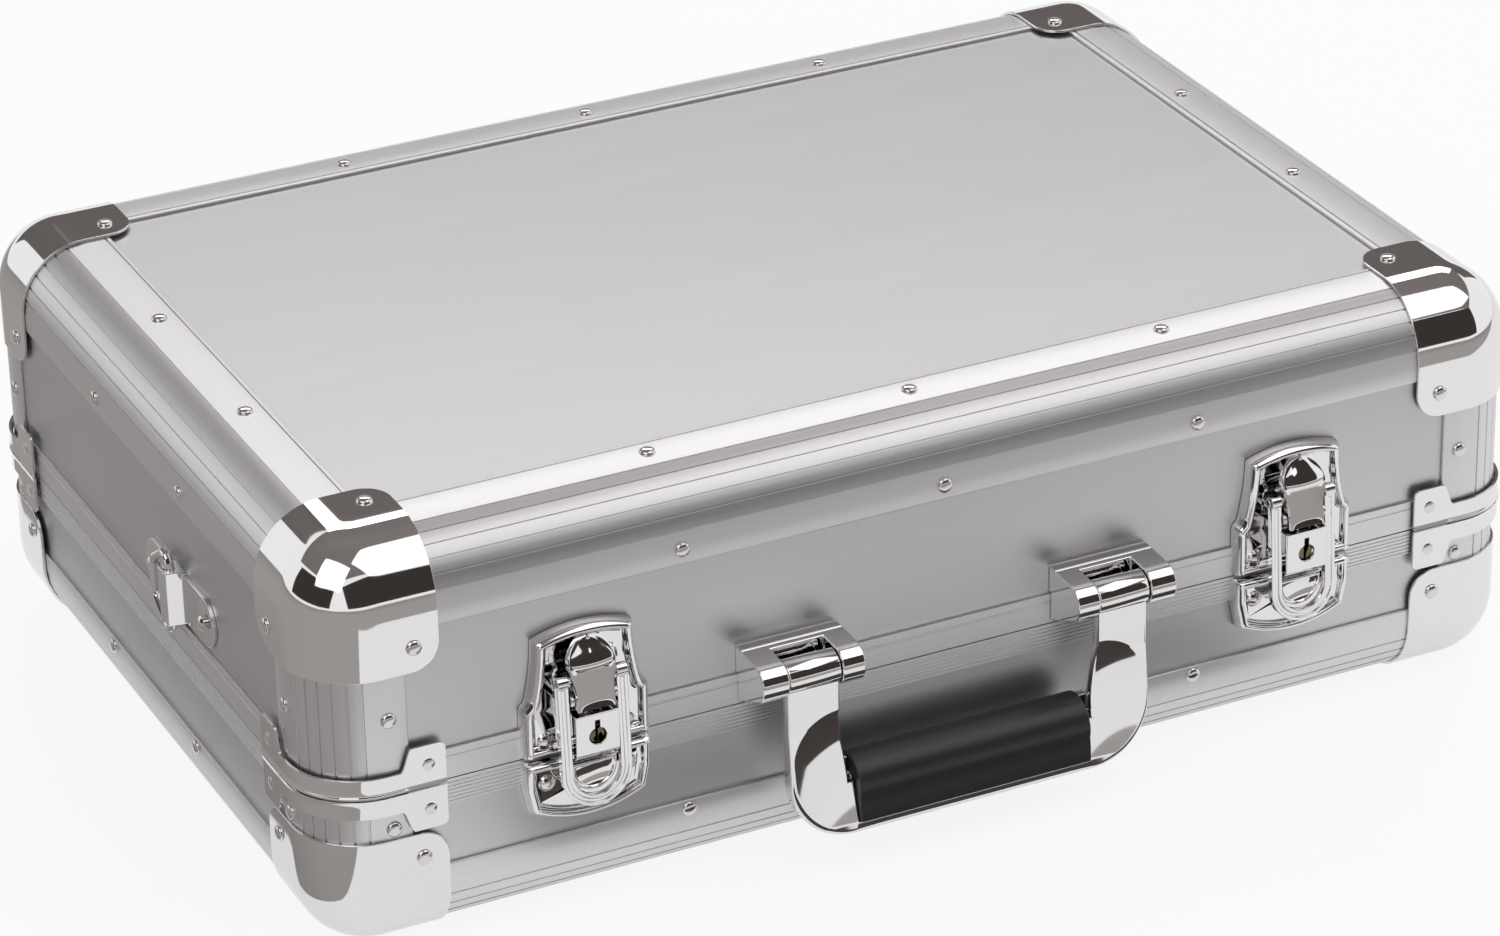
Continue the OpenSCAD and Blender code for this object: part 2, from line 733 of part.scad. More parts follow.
// Leaf with its knuckles: each knuckle is led to the plate by a link below the plate's edge
module hinge_leaf(upper, ranges) {
    skirt_from = frame_h(upper) + split_gap;
    mirror([0, upper ? 0 : 1, 0]) difference() {
        union() {
            translate([-hinge_w / 2, hinge_leaf_from, 0])
                cube([hinge_w, hinge_leaf_h - hinge_leaf_from, hinge_leaf_t]);
            translate([-hinge_w / 2, skirt_from, -panel_in])
                cube([hinge_w, hinge_leaf_h - skirt_from, panel_in + hinge_leaf_t / 2]);
            for (r = ranges) {
                translate([(r[0] + r[1]) / 2, 0, hinge_out]) bar_x(r[1] - r[0], hinge_barrel_r);
                translate([r[0], split_gap, 0])
                    cube([r[1] - r[0], hinge_leaf_from, hinge_out]);
                translate([r[0], split_gap, 0])
                    cube([r[1] - r[0], hinge_leaf_from + hinge_leaf_t, hinge_leaf_t]);
            }
        }
        translate([0, 0, hinge_out]) bar_x(hinge_w + 2 * overrun, hinge_pin_r + hinge_play);
    }
}

lid_knuckles = [[-lid_knuckle_w / 2, lid_knuckle_w / 2]];
base_knuckles = [[-hinge_w / 2, base_knuckle_w - hinge_w / 2],
    [hinge_w / 2 - base_knuckle_w, hinge_w / 2]];

module hinge_leaves(upper) {
    color("silver") placed() difference() {
        for (e = [-1, 1]) at_split(2, e * hinge_x) {
            hinge_leaf(upper, upper ? lid_knuckles : base_knuckles);
            if (!upper) difference() {
                translate([-hinge_w / 2, -stop_bar_down, hinge_out + hinge_pin_r + hinge_play])
                    cube([hinge_w, stop_bar_down + stop_up,
                        hinge_stop_out - hinge_pin_r - hinge_play]);
                translate([0, 0, hinge_out]) bar_x(lid_knuckle_w + 2 * hinge_gap, hinge_stop_in);
                translate([0, 0, hinge_out])
                    bar_x(hinge_w + 2 * overrun, hinge_pin_r + hinge_play);
            }
        }
        level(upper) on_side(2) drill(hinge_sites(upper), hinge_leaf_t + overrun);
    }
}

module hinge_pins() {
    color("dimgray") placed() for (e = [-1, 1]) at_split(2, e * hinge_x)
        translate([0, 0, hinge_out]) bar_x(hinge_w, hinge_pin_r);
}

// Latch sizes that follow from the pieces that carry them
latch_rivet_x = 16;
plate_rivet_up = 6.5;
keeper_rivet_down = 11;
latch_head_r = 3.4;
latch_head_h = 1.8;
plate_gap_up = 0.6;
plate_shoulder_up = 21;
plate_neck_half = latch_half_w - 2.2;
plate_top_half = latch_half_w - 5.5;
plate_arch_rise = 3.4;
keeper_foot_half = latch_half_w - 2;
keeper_arch_rise = 6;
plate_slope_shares = [0.92, 0.95];

// Half of an arch from its middle to its end, counted from the crown
function arch(half, rise, n = 6) =
    let (r = (half * half + rise * rise) / (2 * rise))
    [for (i = [n : -1 : 0]) let (a = asin(half / r) * i / n) [r * sin(a), r * cos(a) - r]];

// Right half of the lid plate's outline, from the split up to the crown
function plate_half(inset, foot) =
    let (side_top = latch_plate_h - plate_arch_rise,
         neck_up = plate_shoulder_up + 2)
    concat([[latch_half_w - inset, plate_gap_up + foot],
            [latch_half_w - inset, plate_shoulder_up]],
        [for (q = [0 : 0.2 : 0.9])
            [plate_top_half - inset + (plate_neck_half - plate_top_half) * pow(1 - q, 2),
             neck_up + (side_top - inset - neck_up) * q]],
        [for (p = arch(plate_top_half - inset, plate_arch_rise))
            [p[0], latch_plate_h - inset + p[1]]]);
function keeper_half(inset, foot) = concat(
    [[latch_half_w - inset, -split_gap / 2 - plate_gap_up - foot]],
    [for (p = arch(keeper_foot_half - inset, keeper_arch_rise))
        [p[0], -keeper_plate_h + inset - p[1]]]);

// Pressed plate with sloping sides, a rim and a sunk floor
module pressed_plate(outer, inner) {
    difference() {
        linear_extrude(latch_rim_u, scale = plate_slope_shares, slices = 1) polygon(outer);
        translate([0, 0, latch_floor_u]) linear_extrude(latch_rim_u) polygon(inner);
    }
}
plate_inset = latch_half_w * (1 - plate_slope_shares[0]) + latch_rim_w;

// Lock box and the parts in it
lock_foot = 0.8;
lock_slot_half = 2.4;
cam_gap = 0.3;
cam_hub_r = 3;
cam_pin_r = 1.2;
cam_pin_h = 3;
cam_play = 0.06;
cam_tooth_u = 6;
cam_tooth_t = 1.8;
cam_tooth_half = 1.8;
cam_reach = lock_half_w - lock_wall - 2 * cam_gap;
key_slot_half = 0.9;
key_slot_up = 3;

// Lever and its ears
ear_half = 7.9;
ear_t = 1.2;
ear_r = 2.2;
ear_foot_half = 2;
latch_play = 0.05;
lever_barrel_r = 2.2;
lever_gap = 0.3;
hook_half = 2;
hook_reach = 8.3;
hook_in = 0.9;
hook_t = 1.6;
hook_slot_floor = 0.6;

module at_latch(e) {
    at_split(0, e * latch_x) children();
}

module latch_plate(e) {
    color("gainsboro") placed() at_latch(e) difference() {
        union() {
            pressed_plate(mirrored_outline(plate_half(0, 0)),
                mirrored_outline(plate_half(plate_inset, latch_rim_w)));
            translate([0, 0, -panel_in]) linear_extrude(panel_in) intersection() {
                polygon(mirrored_outline(plate_half(0, 0)));
                translate([-latch_half_w, frame_h(true) + split_gap])
                    square([2 * latch_half_w, latch_plate_h]);
            }
            for (f = [-1, 1]) translate([f * (ear_half + ear_t / 2), lever_pivot_up, 0]) {
                translate([0, 0, lever_pivot_u]) bar_x(ear_t, ear_r);
                translate([-ear_t / 2, -ear_foot_half, 0])
                    cube([ear_t, 2 * ear_foot_half, lever_pivot_u]);
            }
            translate([0, key_up, 0]) cylinder(h = latch_floor_u + cam_pin_h, r = cam_pin_r);
        }
        translate([0, lever_pivot_up, lever_pivot_u])
            bar_x(3 * ear_half, latch_pin_r + latch_play);
        translate([-hook_half - lever_gap, lock_top + lever_gap, hook_slot_floor])
            cube([2 * (hook_half + lever_gap), hook_reach + hook_in, latch_floor_u]);
        for (f = [-1, 1]) translate([f * latch_rivet_x, plate_rivet_up, -overrun])
            cylinder(h = latch_rim_u + 2 * overrun, r = rivet_hole_r);
    }
}

boss_centre = bail_drop - boss_r - bail_gap - bail_band_w;
boss_lip = 0.9;

// Outline of the boss: a half round below a square shoulder
module boss_outline(r, top) {
    difference() {
        union() {
            translate([0, -boss_centre]) circle(r = r);
            translate([-r, -boss_centre]) square([2 * r, boss_centre]);
        }
        translate([-r - overrun, -top]) square(2 * (r + overrun));
    }
}

module keeper_plate(e) {
    top = split_gap / 2 + plate_gap_up;
    color("gainsboro") placed() at_latch(e) difference() {
        union() {
            pressed_plate(mirrored_outline(keeper_half(0, 0)),
                mirrored_outline(keeper_half(plate_inset, latch_rim_w)));
            translate([0, 0, -panel_in]) linear_extrude(panel_in) intersection() {
                polygon(mirrored_outline(keeper_half(0, 0)));
                translate([-latch_half_w, -keeper_plate_h])
                    square([2 * latch_half_w, keeper_plate_h - frame_h(false) - split_gap]);
            }
            linear_extrude(boss_front_u) boss_outline(boss_r, top + latch_rim_w);
        }
        translate([0, 0, boss_front_u - boss_lip]) linear_extrude(boss_lip + overrun)
            boss_outline(boss_r - boss_lip, top + latch_rim_w + boss_lip);
        for (f = [-1, 1]) translate([f * latch_rivet_x, -keeper_rivet_down, -panel_in - overrun])
            cylinder(h = latch_rim_u + panel_in + 2 * overrun, r = rivet_hole_r);
    }
}

// Folded box over the lock, open towards the plate
module lock_box(e) {
    depth = lock_front_u - latch_floor_u;
    color("whitesmoke") placed() at_latch(e) difference() {
        translate([-lock_half_w, 0, 0]) rotate([90, 0, 90])
            linear_extrude(2 * lock_half_w) polygon([
                [plate_gap_up + latch_rim_w, latch_floor_u], [lock_top, latch_floor_u],
                [lock_top, lock_front_u], [lock_foot + 2 * lock_wall, lock_front_u],
                [lock_foot, lock_front_u - 2 * lock_wall], [lock_foot, latch_rim_u + lever_gap],
                [plate_gap_up + latch_rim_w, latch_rim_u + lever_gap]]);
        translate([lock_wall - lock_half_w, lock_foot + 2 * lock_wall, latch_floor_u - overrun])
            cube([2 * (lock_half_w - lock_wall), lock_top - lock_foot - 3 * lock_wall,
                depth - lock_wall + overrun]);
        translate([0, key_up, lock_front_u - 2 * lock_wall])
            cylinder(h = 2 * lock_wall + overrun, r = key_r);
        translate([-key_slot_half, key_up, lock_front_u - 2 * lock_wall])
            cube([2 * key_slot_half, key_r + key_slot_up, 2 * lock_wall + overrun]);
        translate([-lock_slot_half, lock_top - 2 * lock_wall, latch_floor_u - overrun])
            cube([2 * lock_slot_half, 3 * lock_wall,
                lever_pivot_u + hook_t - latch_floor_u + overrun]);
    }
}

// Lock cam: a hub on the plate's pin, with a tooth that turns up behind the lever's hook
module lock_cam(e) {
    from = latch_floor_u + cam_gap;
    color("goldenrod") placed() at_latch(e) translate([0, key_up, 0]) difference() {
        union() {
            translate([0, 0, from])
                cylinder(h = lock_front_u - lock_wall - cam_gap - from, r = cam_hub_r);
            translate([0, -cam_tooth_half, cam_tooth_u])
                cube([cam_reach, 2 * cam_tooth_half, cam_tooth_t]);
        }
        translate([0, 0, from - overrun])
            cylinder(h = cam_pin_h + overrun, r = cam_pin_r + cam_play);
        translate([-key_slot_half / 2, -cam_hub_r + cam_play, lock_front_u - 3 * lock_wall])
            cube([key_slot_half, 2 * (cam_hub_r - cam_play), 2 * lock_wall]);
    }
}

module latch_pivot_pins() {
    color("dimgray") placed() for (e = [-1, 1]) at_latch(e)
        translate([0, lever_pivot_up, lever_pivot_u])
            bar_x(2 * (ear_half + ear_t), latch_pin_r);
}

// Side section of the lever: height above the split and distance from the wall
lever_lip_up = 20.8;
lever_lip_u = 12.6;
lever_t = 1.3;
lever_waist_up = 36.6;
lever_waist_u = 9.4;
dome_lip_u = 10.6;
dome_top_up = 47.2;
dome_top_u = 5.6;
lever_lip_half = 7.5;
lever_dome_half = 9;
eye_r = 2.1;
eye_pin_r = 1.1;
eye_head_r = 1.8;
eye_head_t = 0.6;
bail_half = boss_r + bail_gap + bail_band_w;
bail_inner = boss_r + bail_gap;

module lever_side() {
    polygon([[lever_lip_up, lever_lip_u], [lever_lip_up + lever_t, lever_lip_u - 2 * lever_t],
        [lever_pivot_up, lever_pivot_u], [bail_pin_up, bail_pin_u - lever_t],
        [lever_waist_up, lever_waist_u - 2 * lever_t], [dome_top_up, dome_top_u - lever_t],
        [dome_top_up, dome_top_u], [lever_waist_up + 2 * lever_t, dome_lip_u - lever_t / 2],
        [lever_waist_up + lever_t / 2, dome_lip_u], [lever_waist_up, lever_waist_u]]);
    translate([bail_pin_up, bail_pin_u]) circle(r = eye_r);
    translate([lever_pivot_up, lever_pivot_u]) circle(r = lever_barrel_r);
}

// Front outline of the lever: a blade that widens up to a rounded finger dome
module lever_front() {
    polygon([[-lever_lip_half, lever_lip_up - overrun], [lever_lip_half, lever_lip_up - overrun],
        [lever_lip_half, lever_pivot_up + ear_r + lever_gap],
        [lever_dome_half, lever_waist_up], [-lever_dome_half, lever_waist_up],
        [-lever_lip_half, lever_pivot_up + ear_r + lever_gap]]);
    translate([0, dome_top_up - lever_dome_half]) circle(r = lever_dome_half);
}

module latch_lever(e) {
    color("gainsboro") placed() at_latch(e) {
        difference() {
            union() {
                intersection() {
                    translate([-lever_dome_half, 0, 0]) rotate([90, 0, 90])
                        linear_extrude(2 * lever_dome_half) lever_side();
                    linear_extrude(lock_front_u + overrun) lever_front();
                }
                translate([-hook_half, lever_pivot_up - hook_reach, lever_pivot_u - hook_in])
                    cube([2 * hook_half, hook_reach, hook_t]);
            }
            translate([0, lever_pivot_up, lever_pivot_u])
                bar_x(3 * ear_half, latch_pin_r + latch_play);
            translate([0, bail_pin_up, bail_pin_u])
                bar_x(3 * ear_half, eye_pin_r + latch_play);
            lever_dish();
        }
        translate([0, bail_pin_up, bail_pin_u]) {
            bar_x(2 * (bail_half + lever_gap + eye_head_t), eye_pin_r);
            for (f = [-1, 1])
                translate([f * (bail_half + lever_gap + eye_head_t / 2), 0, 0])
                    bar_x(eye_head_t, eye_head_r);
        }
    }
}

// Shallow round trough in the blade, under the dome's lip
lever_dish_depth = 0.7;
module lever_dish() {
    half = lever_lip_half - lever_t;
    r = (half * half + lever_dish_depth * lever_dish_depth) / (2 * lever_dish_depth);
    slope = atan2(lever_lip_u - lever_waist_u, lever_waist_up - lever_lip_up);
    translate([0, lever_lip_up, lever_lip_u]) rotate([-slope, 0, 0])
        translate([0, lever_t, r - lever_dish_depth]) rotate([-90, 0, 0])
            cylinder(h = (lever_waist_up - lever_lip_up) / cos(slope) - lever_t, r = r, $fn = 96);
}

// Bail: a flat band bent into a U, hung on the lever's pin and led round the boss
module latch_bail(e) {
    arc_up = -boss_centre;
    bar_u = boss_front_u + bail_gap + bail_band_t / 2;
    run = bail_pin_up - arc_up;
    tilt = atan2(bar_u - bail_pin_u, run + bail_half);
    color("whitesmoke") placed() at_latch(e) translate([0, bail_pin_up, bail_pin_u])
        rotate([-tilt, 0, 0]) difference() {
            union() {
                translate([0, 0, -bail_band_t / 2]) linear_extrude(bail_band_t)
                    bail_outline(run / cos(tilt), bail_inner, bail_half);
                for (f = [-1, 1])
                    translate([f * (bail_inner + bail_half) / 2, 0, 0])
                        bar_x(bail_band_w, eye_r + lever_gap);
            }
            bar_x(3 * bail_half, eye_pin_r + latch_play);
            translate([0, 0, bail_band_t / 2 - bail_groove])
                linear_extrude(bail_groove + overrun) bail_outline(run / cos(tilt),
                    bail_inner + bail_band_w / 3, bail_half - bail_band_w / 3,
                    eye_r + 2 * lever_gap);
        }
}
bail_groove = 0.6;

module bail_outline(run, inner, outer, from = 0) {
    for (f = [-1, 1])
        translate([f > 0 ? inner : -outer, -run]) square([outer - inner, run - from]);
    difference() {
        translate([0, -run]) circle(r = outer);
        translate([0, -run]) circle(r = inner);
        translate([-outer - overrun, -run]) square(2 * (outer + overrun));
    }
}

// Handle bracket: a casting with two cheeks round the knuckle's window
bracket_foot_up = 1;
bracket_top_up = 23.3;
bracket_web_u = 6;
bracket_stud_x = 15;
bracket_stud_up = 17;
handle_pin_seat = 5;
handle_play = 0.05;

// Point where a line from the wall at a height touches the bracket's round nose
function nose_point(up, turn) =
    let (dx = handle_pivot_up - up,
         dist = norm([dx, handle_pivot_u]),
         a = atan2(handle_pivot_u, dx) + turn * asin(bracket_nose_r / dist),
         run = sqrt(dist * dist - bracket_nose_r * bracket_nose_r))
    [up + run * cos(a), run * sin(a)];

module bracket_side() {
    polygon([[bracket_foot_up, 0], nose_point(bracket_foot_up, 1),
        [handle_pivot_up, handle_pivot_u], nose_point(bracket_top_up, -1), [bracket_top_up, 0]]);
    translate([handle_pivot_up, handle_pivot_u]) circle(r = bracket_nose_r);
}

module at_brackets() {
    for (e = [-1, 1]) at_split(0, e * bracket_x) mirror([e < 0 ? 1 : 0, 0, 0]) children();
}

module handle_brackets() {
    skirt_from = lid_frame_h + split_gap;
    from = -window_w / 2 - cheek_in_w;
    len = window_w + cheek_in_w + cheek_out_w;
    color("gainsboro") placed() at_brackets() difference() {
        union() {
            translate([from, 0, 0]) rotate([90, 0, 90]) linear_extrude(len) bracket_side();
            translate([from, skirt_from, -panel_in])
                cube([len, bracket_top_up - skirt_from, panel_in + bracket_web_u / 2]);
            for (f = [-1, 1]) translate([f * bracket_stud_x, bracket_stud_up, -wall_t])
                cylinder(h = wall_t + bracket_web_u / 2, r = rivet_shank_r);
        }
        translate([-window_w / 2, bracket_foot_up - overrun, bracket_web_u])
            cube([window_w, bracket_top_up + handle_pivot_up, 2 * handle_pivot_u]);
        translate([0, handle_pivot_up, handle_pivot_u])
            bar_x(window_w + 2 * (handle_pin_seat + knuckle_gap), handle_pin_r + handle_play);
    }
}

module handle_pins() {
    color("dimgray") placed() at_brackets()
        translate([0, handle_pivot_up, handle_pivot_u])
            bar_x(window_w + 2 * handle_pin_seat, handle_pin_r);
}

// Handle, with Y counted down from the pivot and Z out from it
arm_inner = bracket_x - window_w / 2 + knuckle_gap;
arm_outer = bracket_x + window_w / 2 - knuckle_gap;
handle_back = -0.5;
handle_bar_up = handle_drop - handle_bar_h;
arm_foot_down = 45;
gusset_down = 48;
gusset_in = 2.2;
grip_down = 50.5;
grip_back = -1;
grip_gap = 0.3;
dish_down = 37;
handle_front = handle_front_u - handle_pivot_u;
bar_front = handle_front - 1.5;
handle_edge_r = 3;
handle_slope_from = 22;
grip_half = handle_open_half_w - gusset_in - grip_gap;
collar_r = 10;
collar_t = 3.4;
collar_stub_r = 4;
collar_stub_len = 12;

module in_handle() {
    placed() at_split(0, 0) translate([0, handle_pivot_up, handle_pivot_u])
        mirror([0, 1, 0]) children();
}

module handle_front_outline() {
    difference() {
        union() {
            translate([-arm_outer, 0]) square([2 * arm_outer, handle_drop - handle_corner_r]);
            translate([handle_corner_r - arm_outer, 0])
                square([2 * (arm_outer - handle_corner_r), handle_drop]);
            for (e = [-1, 1])
                translate([e * (arm_outer - handle_corner_r), handle_drop - handle_corner_r])
                    circle(r = handle_corner_r);
        }
        polygon(mirrored_outline([[arm_inner, -knuckle_r - overrun], [arm_inner, dish_down / 2],
            [handle_open_half_w, arm_foot_down],
            [handle_open_half_w, gusset_down], [handle_open_half_w - gusset_in, gusset_down],
            [handle_open_half_w - gusset_in, handle_bar_up]]));
    }
}

// Side section: Y down from the pivot and Z out, with a bulging lower front
module handle_side_outline() {
    polygon([[0, handle_back], [handle_drop, handle_back],
        [handle_drop, bar_front - handle_edge_r], [handle_drop - handle_edge_r, bar_front],
        [handle_bar_up, bar_front], [(handle_slope_from + handle_bar_up) / 2, (arm_front + bar_front) / 2],
        [handle_slope_from, arm_front], [0, arm_front]]);
}
arm_front = handle_back + arm_t;

module handle_frame() {
    dish_ball_r = (dish_r * dish_r + dish_depth * dish_depth) / (2 * dish_depth);
    color("gainsboro") in_handle() difference() {
        union() {
            intersection() {
                translate([0, 0, handle_back - overrun])
                    linear_extrude(handle_front + overrun - handle_back) handle_front_outline();
                translate([-arm_outer, 0, 0]) rotate([90, 0, 90])
                    linear_extrude(2 * arm_outer) handle_side_outline();
            }
            for (e = [-1, 1]) translate([e * bracket_x, 0, 0])
                bar_x(window_w - 2 * knuckle_gap, knuckle_r);
        }
        for (e = [-1, 1]) {
            translate([e * bracket_x, 0, 0])
                bar_x(window_w + overrun, handle_pin_r + handle_play);
            intersection() {
                translate([e * arm_inner, dish_down - overrun, arm_front - dish_depth + dish_ball_r])
                    sphere(r = dish_ball_r, $fn = 128);
                translate([e * bracket_x - window_w, knuckle_r, -handle_front])
                    cube([2 * window_w, dish_down - knuckle_r, 3 * handle_front]);
            }
        }
    }
}

// Grip: a round bar drawn out to a flat corner that fills the frame down to its bar
module handle_grip() {
    foot = handle_bar_up - grip_gap;
    color("#1c1c1c") in_handle() difference() {
        union() {
            translate([0, grip_down, grip_back]) bar_x(2 * grip_half, grip_r);
            translate([-grip_half, 0, 0]) rotate([90, 0, 90]) linear_extrude(2 * grip_half)
                polygon([[grip_down, grip_back], [grip_down, handle_front - 4 * grip_gap],
                    [(grip_down + foot) / 2, handle_front - grip_gap], [foot, handle_front],
                    [foot, grip_back]]);
        }
        translate([0, grip_down, grip_back])
            bar_x(2 * grip_half + overrun, collar_stub_r + handle_play);
    }
}

// Collars behind the arms, with stubs that carry the grip
module handle_collars() {
    color("gainsboro") in_handle() for (e = [-1, 1]) {
        intersection() {
            translate([e * (grip_half + grip_gap + collar_t / 2), grip_down, grip_back])
                bar_x(collar_t, collar_r);
            translate([-arm_outer, 0, -2 * collar_r + handle_back - grip_gap])
                cube([2 * arm_outer, 2 * handle_drop, 2 * collar_r]);
        }
        intersection() {
            translate([e * (grip_half + (grip_gap - collar_stub_len) / 2), grip_down, grip_back])
                bar_x(collar_stub_len + grip_gap, collar_stub_r);
            translate([-arm_outer, 0, -2 * collar_r + grip_back + collar_stub_r])
                cube([2 * arm_outer, 2 * handle_drop, 2 * collar_r]);
        }
    }
}

// Strap anchors: a round-ended plate with a raised bridge, bored for the ring's wire
anchor_rivet_half = 26;
bridge_half = 11;
bridge_top_half = 3.9;
bridge_foot_half = 5.4;
bridge_roof_t = 1.45;
ring_play = 0.05;
ring_bore_r = ring_wire_r + ring_play;

module at_anchor(k) {
    at_split(k, k == 1 ? -anchor_y : anchor_y) translate([0, anchor_up, 0])
        mirror([k == 1 ? 0 : 1, 0, 0]) children();
}

module strap_anchors() {
    color("gainsboro") placed() for (k = [1, 3]) at_anchor(k) difference() {
        union() {
            translate([0, 0, -panel_in]) linear_extrude(anchor_t) {
                for (f = [-1, 1])
                    translate([f * (anchor_len - anchor_w) / 2, 0]) circle(d = anchor_w);
                square([anchor_len - anchor_w, anchor_w], center = true);
            }
            translate([0, bridge_half, 0]) rotate([90, 0, 0]) linear_extrude(2 * bridge_half)
                polygon(mirrored_outline([[bridge_foot_half, -panel_in],
                    [bridge_top_half, ring_u + ring_bore_r + bridge_roof_t]]));
        }
        translate([0, bridge_half + overrun, ring_u]) rotate([90, 0, 0])
            cylinder(h = 2 * (bridge_half + overrun), r = ring_bore_r);
        for (f = [-1, 1]) translate([f * anchor_rivet_half, 0, -panel_in - overrun])
            cylinder(h = anchor_t + 2 * overrun, r = rivet_hole_r);
    }
}

// Ring of round wire, bent to a straight side in the bridge and a blunt tip
ring_tip_half_share = 0.2;
ring_bend_r = 4;
ring_bend_steps = 6;
ring_wire_sides = 16;

// The slanted sides' direction outwards, and the centres of the bends on one half
ring_tip_half = ring_side * ring_tip_half_share;
ring_slant = atan2(ring_reach, ring_side / 2 - ring_tip_half);
ring_side_bend = [ring_bend_r,
    ring_side / 2 - ring_bend_r * (1 + cos(ring_slant)) / sin(ring_slant)];
ring_tip_bend = [ring_reach - ring_bend_r,
    ring_tip_half - ring_bend_r * (1 - cos(ring_slant)) / sin(ring_slant)];

// Sections of the wire through one bend, each a circle about the bend's own radius
function bend_sections(centre, from, to) = [for (i = [0 : ring_bend_steps])
    let (a = from + (to - from) * i / ring_bend_steps)
    [for (j = [0 : ring_wire_sides - 1])
        let (t = 360 * j / ring_wire_sides, r = ring_bend_r + ring_wire_r * cos(t))
        [centre[0] + r * cos(a), centre[1] + r * sin(a), ring_wire_r * sin(t)]]];
function across(p) = [p[0], -p[1]];
ring_sections = concat(
    bend_sections(ring_side_bend, 180, ring_slant),
    bend_sections(ring_tip_bend, ring_slant, 0),
    bend_sections(across(ring_tip_bend), 0, -ring_slant),
    bend_sections(across(ring_side_bend), -ring_slant, -180));

// Closed tube through sections that all have the same number of points
module closed_tube(sections) {
    n = len(sections);
    m = len(sections[0]);
    polyhedron([for (s = sections, p = s) p],
        [for (i = [0 : n - 1], j = [0 : m - 1]) let (a = i * m, b = (i + 1) % n * m, c = (j + 1) % m)
            each [[a + j, b + j, b + c], [a + j, b + c, a + c]]]);
}

module strap_ring(k) {
    color("silver") placed() at_anchor(k) translate([0, 0, ring_u]) closed_tube(ring_sections);
}

face_panel(false);  // base_bottom_panel
side_panel(0, false);  // base_front_panel
side_panel(2, false);  // base_back_panel
side_panel(3, false);  // base_left_panel
side_panel(1, false);  // base_right_panel
edge(0, false);  // base_front_edge
edge(2, false);  // base_back_edge
edge(3, false);  // base_left_edge
edge(1, false);  // base_right_edge
corner_posts(false);  // base_corner_posts
closing_frame(false);  // base_closing_frame
ball_corners(false);  // base_ball_corners
corner_braces(false);  // base_corner_braces
panel_rivets(false);  // base_panel_rivets
corner_rivets(false);  // base_corner_rivets
fitting_rivets(false);  // base_fitting_rivets
lining(false);  // base_lining
row_dividers();
keeper_plate(-1);  // left_keeper_plate
keeper_plate(1);  // right_keeper_plate
hinge_leaves(false);  // hinge_base_leaves
hinge_pins();
face_panel(true);  // lid_top_panel
side_panel(0, true);  // lid_front_panel
side_panel(2, true);  // lid_back_panel
side_panel(3, true);  // lid_left_panel
side_panel(1, true);  // lid_right_panel
edge(0, true);  // lid_front_edge
edge(2, true);  // lid_back_edge
edge(3, true);  // lid_left_edge
edge(1, true);  // lid_right_edge
corner_posts(true);  // lid_corner_posts
closing_frame(true);  // lid_closing_frame
ball_corners(true);  // lid_ball_corners
corner_braces(true);  // lid_corner_braces
panel_rivets(true);  // lid_panel_rivets
corner_rivets(true);  // lid_corner_rivets
fitting_rivets(true);  // lid_fitting_rivets
lining(true);  // lid_lining
hinge_leaves(true);  // hinge_lid_leaves
latch_plate(-1);  // left_latch_plate
latch_plate(1);  // right_latch_plate
lock_box(-1);  // left_lock_box
lock_box(1);  // right_lock_box
latch_pivot_pins();
lock_cam(-1);  // left_lock_cam
lock_cam(1);  // right_lock_cam
latch_lever(-1);  // left_latch_lever
latch_lever(1);  // right_latch_lever
latch_bail(-1);  // left_latch_bail
latch_bail(1);  // right_latch_bail
handle_brackets();
handle_pins();
handle_frame();
handle_grip();
handle_collars();
strap_anchors();
strap_ring(3);  // left_strap_ring
strap_ring(1);  // right_strap_ring
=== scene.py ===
"""Record case: satin panels in grooved edge profiles, bright fittings and a black grip.

Lengths in the shape functions are millimetres in the case's own frame, whose origin lies at
the middle of the profiles' underside. seat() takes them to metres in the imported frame.
"""
import json
import math

import bmesh
import bpy
import numpy as np
from mathutils import Matrix, Vector

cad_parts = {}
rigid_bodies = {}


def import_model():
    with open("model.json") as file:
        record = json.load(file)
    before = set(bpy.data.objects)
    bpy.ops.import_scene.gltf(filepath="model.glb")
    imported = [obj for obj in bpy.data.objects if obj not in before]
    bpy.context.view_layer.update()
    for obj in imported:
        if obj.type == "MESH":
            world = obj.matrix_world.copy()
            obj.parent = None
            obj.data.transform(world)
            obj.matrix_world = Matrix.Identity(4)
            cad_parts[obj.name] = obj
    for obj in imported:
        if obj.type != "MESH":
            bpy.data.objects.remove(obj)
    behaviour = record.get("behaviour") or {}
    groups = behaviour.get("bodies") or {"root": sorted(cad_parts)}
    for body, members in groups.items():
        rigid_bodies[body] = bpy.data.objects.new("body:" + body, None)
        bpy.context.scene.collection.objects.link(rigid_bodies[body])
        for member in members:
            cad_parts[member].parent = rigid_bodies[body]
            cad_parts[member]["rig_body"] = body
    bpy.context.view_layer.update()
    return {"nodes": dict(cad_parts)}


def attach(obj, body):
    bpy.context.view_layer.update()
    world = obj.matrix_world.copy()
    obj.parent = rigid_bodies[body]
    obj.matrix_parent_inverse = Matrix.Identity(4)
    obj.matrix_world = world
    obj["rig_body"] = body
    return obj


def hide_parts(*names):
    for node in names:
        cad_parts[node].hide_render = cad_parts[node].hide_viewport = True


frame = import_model()

MM = 0.001

# The case between its outer planes, the height of the split and its gap, the radius of the long
# edges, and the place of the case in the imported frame
CASE_W = 500.0
CASE_D = 341.0
CASE_H = 163.0
SPLIT = 67.5
SPLIT_GAP = 0.4
EDGE_R = 26.0
SHIFT = np.array([0.0, 7.1, 1.3])


def seat(points):
    """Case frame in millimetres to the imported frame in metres: (p + shift) / 1000."""
    return (np.asarray(points, float) + SHIFT) * MM


